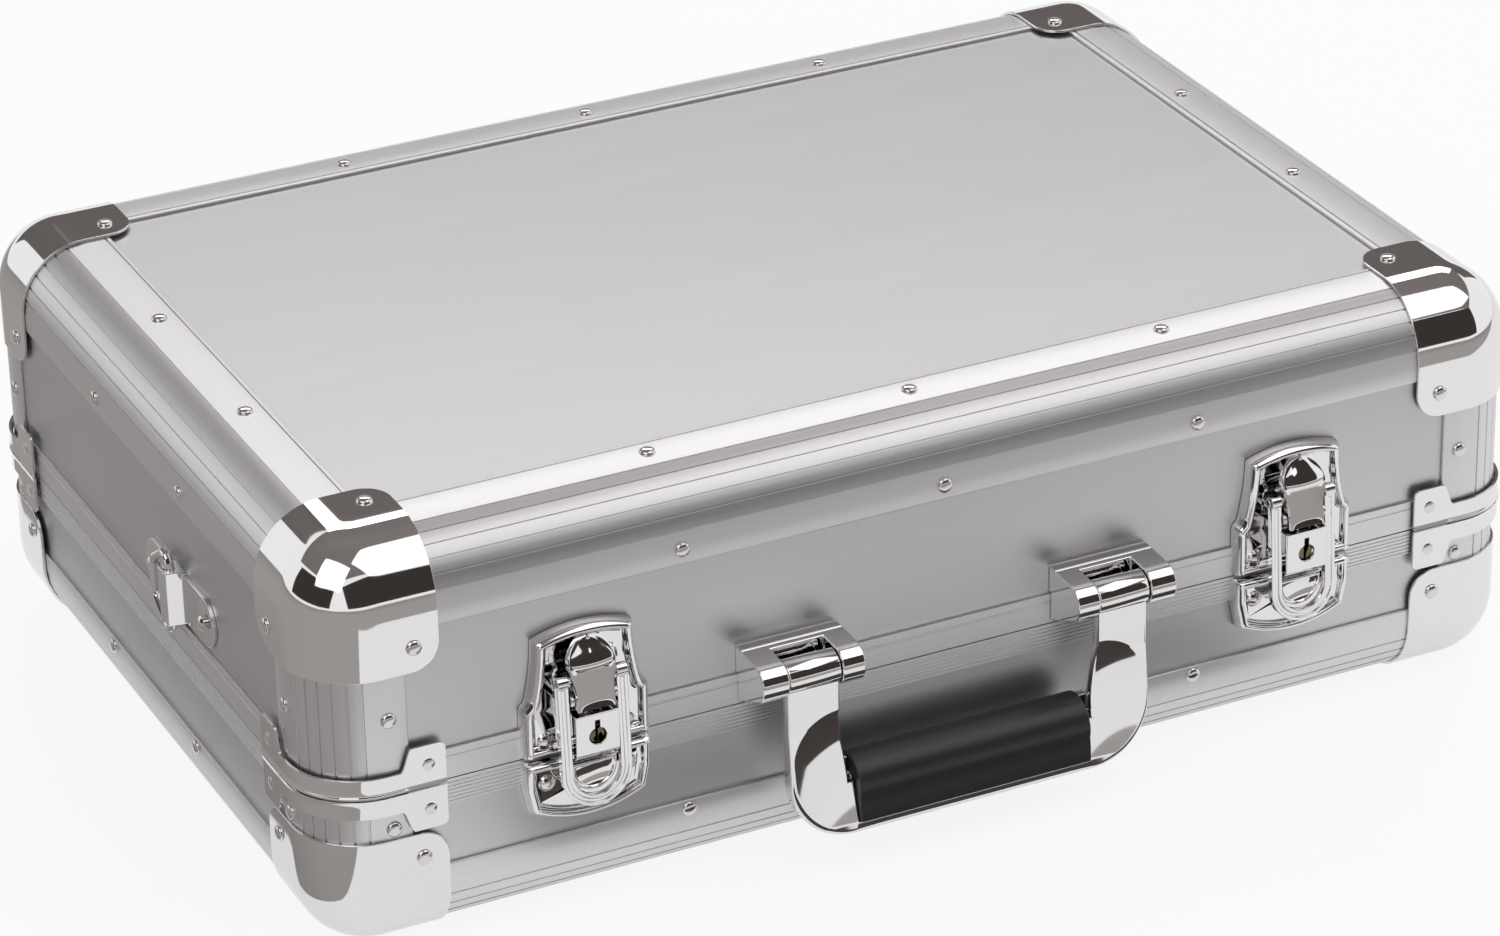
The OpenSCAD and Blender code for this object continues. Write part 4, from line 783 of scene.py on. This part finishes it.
def post_patch(upper):
    """Corner post: the same rounded section upright, from its mitres down to the split."""
    section = grooved_skin(POST_FLANGE, POST_FLANGE, False)
    start = np.maximum(np.maximum(section[:, 0], section[:, 1]), EDGE_R) + MITRE_GAP
    stop = np.full(len(section), shell_depth(upper) - SPLIT_GAP / 2.0)
    rings = [np.column_stack([section, level]) for level in (start, stop)]
    return ringed_patch(np.array(rings))


def add_profiles():
    """Four long profiles and four posts on each shell."""
    sides = ("front", "right", "back", "left")
    for body, upper in SHELLS:
        for k, side in enumerate(sides):
            material = PROFILE_LONG if k % 2 == 0 else PROFILE_SHORT
            make_piece(f"{body}_{side}_grooved_edge", [flipped(edge_patch(k), upper)], body,
                       material, [f"{body}_{side}_edge"], sharp=40.0)
        posts = [at_corner(post_patch(upper), ex, ey, upper) for ex, ey in CORNERS]
        make_piece(f"{body}_grooved_posts", posts, body, PROFILE_POST,
                   [f"{body}_corner_posts"], sharp=40.0)


# Draw latches: pressed plates, drawn in a frame with X along the front, Y up from the split
# and Z outwards from the front's outer plane

SIDE_SIGNS = (("left", -1.0), ("right", 1.0))
LATCH_X = 147.0
LATCH_HALF = 25.0
PLATE_H = 51.0
KEEPER_H = 28.0
PRESS_STEP = 2.5
# Inset and height of the pressed rim, from its foot over its crest down to the floor
PLATE_PRESS = [(0.0, -1.0), (0.0, 0.5), (0.25, 1.7), (0.7, 3.1), (1.3, 4.2), (1.9, 4.8),
               (2.5, 4.97), (3.0, 4.85), (3.4, 4.4), (3.7, 3.5), (4.0, 2.7), (4.6, 2.15),
               (5.4, 2.02)]


def crown(half, rise, count):
    """Half of a circular arch from its crown to its end, heights counted from the crown."""
    radius = (half * half + rise * rise) / (2.0 * rise)
    turn = np.linspace(0.0, math.asin(half / radius), count)
    return np.stack([radius * np.sin(turn), radius * (np.cos(turn) - 1.0)], 1)


def mirrored(half):
    """Closed outline from its right half, which runs upwards or downwards to the middle."""
    left = half[::-1] * [-1.0, 1.0]
    return anticlockwise(np.concatenate([half, left[1:] if abs(half[-1, 0]) < TINY else left]))


NECK_IN = 5.5
NECK_FLARE = 3.3
NECK_FOOT = 23.0
NECK_STEPS = (0.0, 0.9, 8)
PLATE_ARCH = 3.4
PLATE_ARCH_STEPS = 9
KEEPER_IN = 2.0
KEEPER_ARCH = 6.0
KEEPER_ARCH_STEPS = 10
# Feet of the outlines: distance inwards from the half width, and height
PLATE_FOOT = ((0.9, 0.6), (0.25, 0.9), (0.0, 1.6), (0.0, 11.0), (0.0, 20.4), (0.7, 21.6))
KEEPER_FOOT = ((0.9, -0.8), (0.25, -1.1), (0.0, -1.8), (0.0, -12.0))


def latch_foot(corners):
    """Corners of a foot on the right of the latch."""
    return np.array([[LATCH_HALF - inward, up] for inward, up in corners])


def plate_outline():
    """Straight feet, a shoulder, a neck that narrows as (1 - q)^2, and a low arch."""
    rise = PLATE_H - PLATE_ARCH - NECK_FOOT
    q = np.linspace(*NECK_STEPS)
    neck = np.stack([LATCH_HALF - NECK_IN + NECK_FLARE * (1.0 - q) ** 2, NECK_FOOT + rise * q], 1)
    arch = crown(LATCH_HALF - NECK_IN, PLATE_ARCH, PLATE_ARCH_STEPS)[::-1] + [0.0, PLATE_H]
    return mirrored(np.concatenate([latch_foot(PLATE_FOOT), neck, arch]))


def keeper_outline():
    """Straight sides under the split and a deep arch below."""
    arch = crown(LATCH_HALF - KEEPER_IN, KEEPER_ARCH, KEEPER_ARCH_STEPS)[::-1]
    arch = arch * [1.0, -1.0] + [0.0, -KEEPER_H]
    return mirrored(np.concatenate([latch_foot(KEEPER_FOOT), arch]))


def latch_seat(patch, e):
    """From the latch's frame to the case."""
    return on_side(patch, 0, e * LATCH_X, SPLIT)


EAR_OUT = 9.5
EAR_UP = 24.5
EAR_R = 2.2
EAR_T = 1.2
EAR_PLACES = (-9.1, 7.9)
EAR_ROUND = 0.25
EAR_STEPS = 12


def ear_patch(start):
    """One of the two ears that carry the lever's pivot: an outline (Z, Y) with straight flanks
    and a half round, one ear's thickness along X from its start, with its rims rounded off."""
    tip = arc((EAR_OUT, EAR_UP), EAR_R, -90.0, 90.0, EAR_STEPS)
    outline = np.concatenate([[[0.0, EAR_UP - EAR_R]], tip, [[0.0, EAR_UP + EAR_R]]])
    stop = start + EAR_T
    rings = pressed(anticlockwise(outline), [(EAR_ROUND, start), (0.0, start + EAR_ROUND),
                                             (0.0, stop - EAR_ROUND), (EAR_ROUND, stop)])
    points, faces = ringed_patch(rings)
    return points[:, [2, 1, 0]], [face[::-1] for face in faces]


BOSS_R = 9.0
BOSS_UP = -5.5
BOSS_TOP = -2.3
BOSS_STEPS = 33
BOSS_PRESS = [(0.0, 0.5), (0.0, 7.9), (0.15, 8.5), (0.5, 8.9), (0.9, 8.98), (1.3, 8.8),
              (1.6, 8.3), (1.9, 8.05)]


def boss_patch():
    """Half-round boss: a rounded front rim and a floor sunk behind it."""
    low = arc((0.0, BOSS_UP), BOSS_R, 180.0, 360.0, BOSS_STEPS)
    outline = np.concatenate([low, [[BOSS_R, BOSS_TOP], [-BOSS_R, BOSS_TOP]]])
    return ringed_patch(pressed(outline, BOSS_PRESS))


LEVER_FOOT = 20.9
LEVER_TOP = 47.1
LEVER_LIP_HALF = 7.4
LEVER_DOME_HALF = 8.9
LEVER_WIDENS = (27.5, 8.0)
BLADE_OUT = 12.55
BLADE_SLOPE = 0.20
BLADE_DISH = 0.8
DISH_FADE = 0.06
DOME_OUT = 5.75
DOME_SWELL = 4.9
DOME_FROM = 37.4
DOME_BEND = 1.5
DOME_STEP = (36.2, 1.1)
# Rows of the skin: shares of its length on the blade and the step, a sine's degrees on the dome
BLADE_ROWS = (0.0, 0.62, 12)
STEP_ROWS = (0.635, 0.70, 6)
DOME_ROWS = (6.0, 90.0, 13)
LEAST_HALF_SQ = 0.02
SKIN_COLUMNS = 21


def lever_skin_patch():
    """Pressed front of the lever: a dished blade under a swelling finger dome. The half width is
    straight, widens by a smooth step, then follows the dome's circle. The height is the side
    profile of the CAD lever, less a dish across the blade and a crown across the dome."""
    top = np.sin(np.radians(np.linspace(*DOME_ROWS)))
    rise = np.concatenate([np.linspace(*BLADE_ROWS), np.linspace(*STEP_ROWS),
                           STEP_ROWS[1] + (1.0 - STEP_ROWS[1]) * top])
    up = LEVER_FOOT + (LEVER_TOP - LEVER_FOOT) * rise
    centre = LEVER_TOP - LEVER_DOME_HALF
    wide = smooth_step((up - LEVER_WIDENS[0]) / LEVER_WIDENS[1])
    half = LEVER_LIP_HALF + (LEVER_DOME_HALF - LEVER_LIP_HALF) * wide
    round_sq = LEVER_DOME_HALF ** 2 - np.maximum(up - centre, 0.0) ** 2
    half = np.minimum(half, np.sqrt(np.maximum(round_sq, LEAST_HALF_SQ)))
    blade = BLADE_OUT - (up - LEVER_FOOT) * BLADE_SLOPE
    fall = smooth_step((up - DOME_FROM) / (LEVER_TOP - DOME_FROM))
    dome = DOME_OUT + DOME_SWELL * (1.0 - fall)
    over = smooth_step((up - DOME_STEP[0]) / DOME_STEP[1])[:, None]
    front = blade[:, None] * (1.0 - over) + dome[:, None] * over
    across = np.sin(np.radians(np.linspace(-90.0, 90.0, SKIN_COLUMNS)))
    x = half[:, None] * across[None, :]
    bend = across[None, :] ** 2
    dish = BLADE_DISH * (1.0 - bend) * smooth_step(rise / DISH_FADE)[:, None]
    z = front - (1.0 - over) * dish - over * DOME_BEND * bend
    y = np.broadcast_to(up[:, None], x.shape)
    return grid_patch(np.stack([x, y, z], -1))


def add_lever_skins():
    """A pressed skin over the front of each lever, riding on it."""
    for side, e in SIDE_SIGNS:
        make_piece(f"{side}_lever_skin", [latch_seat(lever_skin_patch(), e)], f"{side}_lever",
                   CHROME, bevel=0.3, wall=0.9, sharp=40.0)


# Half width, low end, high end and floor of the slot for the lever's hook
HOOK_SLOT = (2.3, 19.3, 28.6, 0.6)


def slotted_plate_patch():
    """Pressed plate whose floor is two faces round a slot that the lever's hook swings into."""
    rings = pressed(even_outline(plate_outline(), PRESS_STEP), PLATE_PRESS)
    points, faces = ringed_patch(rings)
    count = rings.shape[1]
    start = (rings.shape[0] - 1) * count
    faces.remove(list(range(start, start + count)))
    ring = rings[-1]
    half, low, high, floor = HOOK_SLOT
    top = int(np.argmin(np.hypot(ring[:, 0], ring[:, 1] - PLATE_H)))
    foot = int(np.argmin(np.hypot(ring[:, 0], ring[:, 1])))
    corners = [(half, high), (half, low), (-half, low), (-half, high)]
    slot = [(x, y, z) for z in (ring[0, 2], floor) for x, y in corners]
    first = len(points)

    def around(a, b):
        """Numbers of the ring's points from a on to b."""
        return [start + (a + i) % count for i in range((b - a) % count + 1)]

    faces.append(around(foot, top) + [first, first + 1, first + 2])
    faces.append(around(top, foot) + [first + 2, first + 3, first])
    faces += [[first + i, first + (i + 1) % 4, first + 4 + (i + 1) % 4, first + 4 + i]
              for i in range(4)]
    faces.append([first + 7, first + 6, first + 5, first + 4])
    return np.concatenate([points, slot]), faces


def add_latch_plates():
    """Each latch's plate with its ears on the lid, and its keeper with its boss on the base."""
    plate = slotted_plate_patch()
    ears = [ear_patch(start) for start in EAR_PLACES]
    keeper = ringed_patch(pressed(even_outline(keeper_outline(), PRESS_STEP), PLATE_PRESS))
    for side, e in SIDE_SIGNS:
        make_piece(f"{side}_pressed_plate", [latch_seat(p, e) for p in (plate, *ears)],
                   "lid", CHROME, [f"{side}_latch_plate"], sharp=50.0)
        make_piece(f"{side}_pressed_keeper", [latch_seat(p, e) for p in (keeper, boss_patch())],
                   "base", CHROME, [f"{side}_keeper_plate"], sharp=50.0)


# Drop handle, drawn in a frame with X along the front, Y down from its pivot and Z outwards

PIVOT_UP = 15.5
PIVOT_OUT = 15.0
BRACKET_X = 64.0
ARM_HALF = 10.35
ARM_IN = BRACKET_X - ARM_HALF
ARM_OUT = BRACKET_X + ARM_HALF
ARM_START = 3.0
ARM_FRONT = 4.7
ARM_BACK = -0.5
SWELL_FROM = 22.0
SWELL = 4.3
BAR_INNER = 63.5
BAR_OUTER = 68.5
BEND_R = 25.0
OPENING = [(50.77, 43.5), (50.6, 45.0), (50.6, 48.0), (48.4, 48.0), (48.4, BAR_INNER)]
OPENING_COUNTS = (3, 6, 5, 26)
ARM_ROWS = 90
BAR_ROWS = 13
FRONT_COLUMNS = 60
ROUND_COLUMNS = 7
SCOOP_AT = (53.4, 37.0)
SCOOP_R = 20.3
SCOOP_LOW_R = 30.0
SCOOP_DEPTH = 3.0
SCOOP_RIM = 0.02
TAPER_FROM = 18.5
TAPER_LEN = 26.5
# Radii of the section's rounded edges at the arms, what the bar's have more, and the way down
# over which one becomes the other
ROUND_IN = (0.9, -0.3)
ROUND_OUT = (1.3, 1.7)
ROUND_BLEND = (40.0, 28.0)
BACK_SHARES = (1.0, 0.98, 0.94, 0.06, 0.02, 0.0)
BACK_LIFTS = (0.5, 0.12, 0.0, 0.0, 0.12, 0.5)
KNUCKLE_R = 6.5
KNUCKLE_BORE = 2.55
KNUCKLE_RIM = 0.5
KNUCKLE_CHAMFER = 0.15
KNUCKLE_SIDES = 64


def handle_lines():
    """Inner and outer line of the handle's right half, from its arm's top to the bar's middle."""
    down = np.linspace(ARM_START, BAR_OUTER - BEND_R, ARM_ROWS, endpoint=False)
    taper = np.clip((down - TAPER_FROM) / TAPER_LEN, 0.0, 1.0) * (ARM_IN - OPENING[1][0])
    inner = [np.stack([ARM_IN - taper, down], 1)]
    for a, b, count in zip(OPENING, OPENING[1:], OPENING_COUNTS):
        inner.append(np.linspace(a, b, count, endpoint=False))
    bend = arc((ARM_OUT - BEND_R, BAR_OUTER - BEND_R), BEND_R, 0.0, 90.0, sum(OPENING_COUNTS) + 1)
    outer = [np.stack([np.full(len(down), ARM_OUT), down], 1), bend[:-1]]
    shares = np.linspace(1.0, 0.0, BAR_ROWS)[:, None]
    inner.append(shares * [OPENING[-1][0], 0.0] + [0.0, BAR_INNER])
    outer.append(shares * [ARM_OUT - BEND_R, 0.0] + [0.0, BAR_OUTER])
    return np.concatenate(inner), np.concatenate(outer)


def scoop_depth(x, down):
    """Hollow D (q + sqrt(q^2 + e^2)) / 2 with q = 1 - (x / R)^2 - (y / S)^2, longer below."""
    reach = np.where(down < SCOOP_AT[1], SCOOP_R, SCOOP_LOW_R)
    q = 1.0 - ((np.abs(x) - SCOOP_AT[0]) / SCOOP_R) ** 2 - ((down - SCOOP_AT[1]) / reach) ** 2
    return SCOOP_DEPTH * (q + np.sqrt(q * q + SCOOP_RIM ** 2)) / 2.0


def handle_patch():
    """Section carried along the handle: a rounded front, an upright outer rim and a flat back.
    Its front swells towards the bar and is hollowed by the scoop on each arm."""
    inner, outer = handle_lines()
    inner = np.concatenate([inner, inner[-2::-1] * [-1.0, 1.0]])
    outer = np.concatenate([outer, outer[-2::-1] * [-1.0, 1.0]])
    width = np.linalg.norm(outer - inner, axis=1)[:, None]
    way = (outer - inner) / width
    low = smooth_step((outer[:, 1:] - ROUND_BLEND[0]) / ROUND_BLEND[1])
    round_in = ROUND_IN[0] + ROUND_IN[1] * low
    round_out = ROUND_OUT[0] + ROUND_OUT[1] * low
    turn = np.radians(np.linspace(0.0, 90.0, ROUND_COLUMNS))[None, :]
    share = np.linspace(0.0, 1.0, FRONT_COLUMNS + 2)[None, 1:-1]
    flat = round_in + (width - round_in - round_out) * share
    across = np.concatenate([round_in * (1.0 - np.cos(turn)), flat,
                             (width - round_out * (1.0 - np.cos(turn)))[:, ::-1]], 1)
    drop = np.concatenate([round_in * (1.0 - np.sin(turn)), 0.0 * flat,
                           (round_out * (1.0 - np.sin(turn)))[:, ::-1]], 1)
    place = inner[:, None, :] + way[:, None, :] * across[..., None]
    swell = SWELL * np.clip((place[..., 1] - SWELL_FROM) / (BAR_INNER - SWELL_FROM), 0.0, 1.0)
    out = ARM_FRONT + swell - scoop_depth(place[..., 0], place[..., 1]) - drop
    front = np.concatenate([place, out[..., None]], -1)
    back = inner[:, None, :] + (outer - inner)[:, None, :] * np.array(BACK_SHARES)[None, :, None]
    lift = (ARM_BACK + np.array(BACK_LIFTS))[None, :, None]
    back = np.concatenate([back, np.broadcast_to(lift, (*back.shape[:2], 1))], -1)
    return ringed_patch(np.concatenate([front, back], 1))


def knuckle_patch(e):
    """Bored knuckle: a closed profile with rounded rims, turned about the pivot."""
    half = ARM_HALF
    profile = [(KNUCKLE_BORE, half), (KNUCKLE_R - KNUCKLE_RIM, half),
               (KNUCKLE_R - KNUCKLE_CHAMFER, half - KNUCKLE_CHAMFER),
               (KNUCKLE_R, half - KNUCKLE_RIM)]
    profile = [(r, -x) for r, x in profile] + profile[::-1]
    rings = turned(profile, KNUCKLE_SIDES)[..., [2, 0, 1]] + np.array([e * BRACKET_X, 0.0, 0.0])
    return grid_patch(rings, wrap_rows=True, wrap_cols=True)


def add_handle():
    """Cast handle frame, hung from its pivot."""
    patches = []
    for points, faces in (handle_patch(), knuckle_patch(-1.0), knuckle_patch(1.0)):
        hung = points + np.array([0.0, 0.0, PIVOT_OUT])
        patches.append(on_side((hung, faces), 0, 0.0, SPLIT + PIVOT_UP, flip=-1.0))
    make_piece("cast_handle", patches, frame["nodes"]["handle_frame"]["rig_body"],
               CHROME, ["handle_frame"], sharp=55.0)


# Fittings cast or folded: merged copies of the solids with rounded edges

COPY_MERGE_GAP = 1e-6
FLAT_ANGLE = 0.6
COPY_SHARP = 28.0


def rounded_copy(node, material, width):
    """Merged copy of a node's mesh, whose flat faces are joined before its edges are rounded."""
    source = frame["nodes"][node]
    mesh = source.data.copy()
    mesh.name = f"{node}_rounded"
    work = bmesh.new()
    work.from_mesh(mesh)
    bmesh.ops.remove_doubles(work, verts=work.verts, dist=COPY_MERGE_GAP)
    bmesh.ops.dissolve_limit(work, verts=work.verts, edges=work.edges,
                             angle_limit=math.radians(FLAT_ANGLE))
    work.to_mesh(mesh)
    work.free()
    if "custom_normal" in mesh.attributes:
        mesh.attributes.remove(mesh.attributes["custom_normal"])
    piece = add_object(f"{node}_rounded", mesh, material, COPY_SHARP)
    round_edges(piece, width, COPY_SHARP, 3, clamp=False)
    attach(piece, source["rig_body"])
    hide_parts(node)


def add_fittings():
    """Rounded copies from a table of node, slot, finish and rounding; the slot is not used."""
    copies = [("base_closing_frame", "profile", PROFILE_LONG, 0.12),
              ("lid_closing_frame", "profile", PROFILE_LONG, 0.12)]
    for ending, slot, material, width in (("lock_box", "chrome", CHROME, 0.4),
                                          ("latch_lever", "chrome", CHROME, 0.3),
                                          ("latch_bail", "chrome", CHROME, 0.35),
                                          ("lock_cam", "lock", BRASS, 0.12)):
        copies += [(f"{side}_{ending}", slot, material, width) for side, _ in SIDE_SIGNS]
    copies += [("handle_brackets", "chrome", CHROME, 0.7),
               ("handle_grip", "grip", GRIP, 0.8),
               ("handle_collars", "chrome", CHROME, 0.3),
               ("hinge_base_leaves", "hinge", HINGE, 0.2),
               ("hinge_lid_leaves", "hinge", HINGE, 0.2),
               ("strap_anchors", "chrome", CHROME, 0.35)]
    for node, slot, material, width in copies:
        rounded_copy(node, material, width)


# Studio: pale floor, white surroundings, soft lamps and dark cards for the metal to reflect

FLOOR_R = 8.0
FLOOR_SIDES = 64
FLOOR_GREY = 0.90
WORLD_LIGHT = 0.55
WHITE = (1.0, 1.0, 1.0, 1.0)
# Share of plain white in the floor where the camera looks, and where a mirror does; the rest
# shows shadows
FLOOR_WHITE = 0.86
MIRRORED_WHITE = 0.60
# Roughness of the floor and the cards, and the floor's specular level
FLOOR_ROUGH = 0.6
FLOOR_SPECULAR = 0.2
CARD_ROUGH = 0.9
# Tones of the cards, all warm as the room is
DARK_TONE = (0.060, 0.048, 0.042)
BROWN_TONE = (0.24, 0.215, 0.205)
FLOOR_TONE = (0.40, 0.38, 0.37)
CEILING_TONE = (0.32, 0.29, 0.275)
CARD_LIFT = 0.002
# What lamps and cards look at
CENTRE = (0.0, 0.0, 0.08)
# Name, place, size and power
LAMPS = (("behind above", (1.1, 2.1, 2.1), (2.6, 0.8), 19.0),
         ("front window", (0.85, -0.85, 2.1), (1.9, 1.6), 12.0),
         ("left window", (-1.45, -0.90, 1.85), (1.7, 1.7), 12.0))
# Name, place, size and tone
CARDS = (("dim ceiling", (0.0, 0.2, 3.2), (8.0, 6.4), CEILING_TONE),
         ("dark ahead", (0.8, -4.2, 1.9), (7.0, 3.4), DARK_TONE),
         ("dark left", (-4.4, -0.6, 1.6), (6.0, 2.8), DARK_TONE),
         ("brown behind", (1.8, 4.6, 2.3), (9.0, 3.0), BROWN_TONE))
# Name, two corners and tone. The card under the handle is painted shade: a dark sheet where the
# floor lies in the case's shadow, for the metal to reflect
FLOOR_CARDS = (("floor ahead", (-3.0, -4.0), (4.0, -0.42), FLOOR_TONE),
               ("painted shade under handle", (-0.15, -0.264), (0.17, -0.20), DARK_TONE),
               ("floor left", (-4.0, -3.0), (-0.275, 4.0), FLOOR_TONE))


def seen_rays(tree, camera, mirrored):
    """One share on camera rays, another on glossy and transmission rays, and 0 on the rays that
    light the object."""
    rays = add_node(tree, "ShaderNodeLightPath")
    seen = math_node(tree, "MULTIPLY", rays.outputs["Is Camera Ray"], camera)
    for output in ("Is Glossy Ray", "Is Transmission Ray"):
        share = math_node(tree, "MULTIPLY", rays.outputs[output], mirrored)
        seen = math_node(tree, "MAXIMUM", seen, share)
    return seen


def mix_seen(tree, shares, lights, seen, out):
    """One shader lights the object, and the other is what the camera and mirrors see instead."""
    mix = add_node(tree, "ShaderNodeMixShader")
    tree.links.new(seen_rays(tree, *shares), mix.inputs["Fac"])
    tree.links.new(lights.outputs[0], mix.inputs[1])
    tree.links.new(seen.outputs[0], mix.inputs[2])
    tree.links.new(mix.outputs[0], out.inputs["Surface"])


def add_floor():
    """Round floor far wider than the view; its colour is the background's."""
    mesh = bpy.data.meshes.new("floor")
    turns = np.linspace(0.0, 2.0 * math.pi, FLOOR_SIDES, endpoint=False)
    ring = np.stack([np.cos(turns), np.sin(turns), 0.0 * turns], 1) * FLOOR_R
    mesh.from_pydata(ring.tolist(), [], [list(range(len(ring)))])
    floor = new_object("floor", mesh)
    material, tree, shader = surface("pale floor", metallic=0.0, Roughness=FLOOR_ROUGH)
    shader.inputs["Base Color"].default_value = (FLOOR_GREY, FLOOR_GREY, FLOOR_GREY, 1.0)
    shader.inputs["Specular IOR Level"].default_value = FLOOR_SPECULAR
    white = add_node(tree, "ShaderNodeEmission", Color=WHITE, Strength=1.0)
    mix_seen(tree, (FLOOR_WHITE, MIRRORED_WHITE), shader, white, tree.nodes["Material Output"])
    mesh.materials.append(material)


def add_world():
    """Soft light from all round, and plain white where the camera or a mirror looks."""
    world = bpy.data.worlds.new("studio")
    bpy.context.scene.world = world
    world.use_nodes = True
    tree = world.node_tree
    tree.nodes.clear()
    light = add_node(tree, "ShaderNodeBackground", Color=WHITE, Strength=WORLD_LIGHT)
    white = add_node(tree, "ShaderNodeBackground", Color=WHITE, Strength=1.0)
    mix_seen(tree, (1.0, 1.0), light, white, add_node(tree, "ShaderNodeOutputWorld"))


def aim(place, target):
    """Matrix of a thing at a place whose -Z looks at a target."""
    way = Vector(target) - Vector(place)
    return Matrix.Translation(Vector(place)) @ way.to_track_quat("-Z", "Y").to_matrix().to_4x4()


def add_lamp(name, place, size, power):
    """Oblong soft lamp that looks at the case."""
    data = bpy.data.lights.new(name, "AREA")
    data.shape = "RECTANGLE"
    data.size, data.size_y = size
    data.energy = power
    new_object(name, data).matrix_world = aim(place, CENTRE)


def add_card(name, place, target, size, tone):
    """Flat card outside the view, seen only by reflections."""
    mesh = bpy.data.meshes.new(name)
    half_x, half_y = size[0] / 2.0, size[1] / 2.0
    corners = [(-half_x, -half_y, 0.0), (half_x, -half_y, 0.0), (half_x, half_y, 0.0),
               (-half_x, half_y, 0.0)]
    placed = aim(place, target)
    mesh.from_pydata([placed @ Vector(c) for c in corners], [], [(0, 1, 2, 3)])
    card = new_object(name, mesh)
    material, _, shader = surface(name, metallic=0.0, Roughness=CARD_ROUGH)
    shader.inputs["Base Color"].default_value = (*tone, 1.0)
    mesh.materials.append(material)
    card.visible_camera = False
    card.visible_diffuse = False
    card.visible_shadow = False


def add_floor_card(name, low, high, tone):
    """Card lying just over the floor between two corners."""
    middle = ((low[0] + high[0]) / 2.0, (low[1] + high[1]) / 2.0, CARD_LIFT)
    above = (middle[0], middle[1], 1.0)
    add_card(name, middle, above, (high[0] - low[0], high[1] - low[1]), tone)


def add_studio():
    """Floor, world, lamps, upright cards and floor cards."""
    add_floor()
    add_world()
    for name, place, size, power in LAMPS:
        add_lamp(name, place, size, power)
    for name, place, size, tone in CARDS:
        add_card(name, place, CENTRE, size, tone)
    for name, low, high, tone in FLOOR_CARDS:
        add_floor_card(name, low, high, tone)


finish_cad_nodes()
add_ball_corners()
add_braces()
add_rivets()
add_profiles()
add_fittings()
add_latch_plates()
add_lever_skins()
add_handle()
add_camera()
add_studio()
bpy.context.scene.view_settings.view_transform = "Standard"
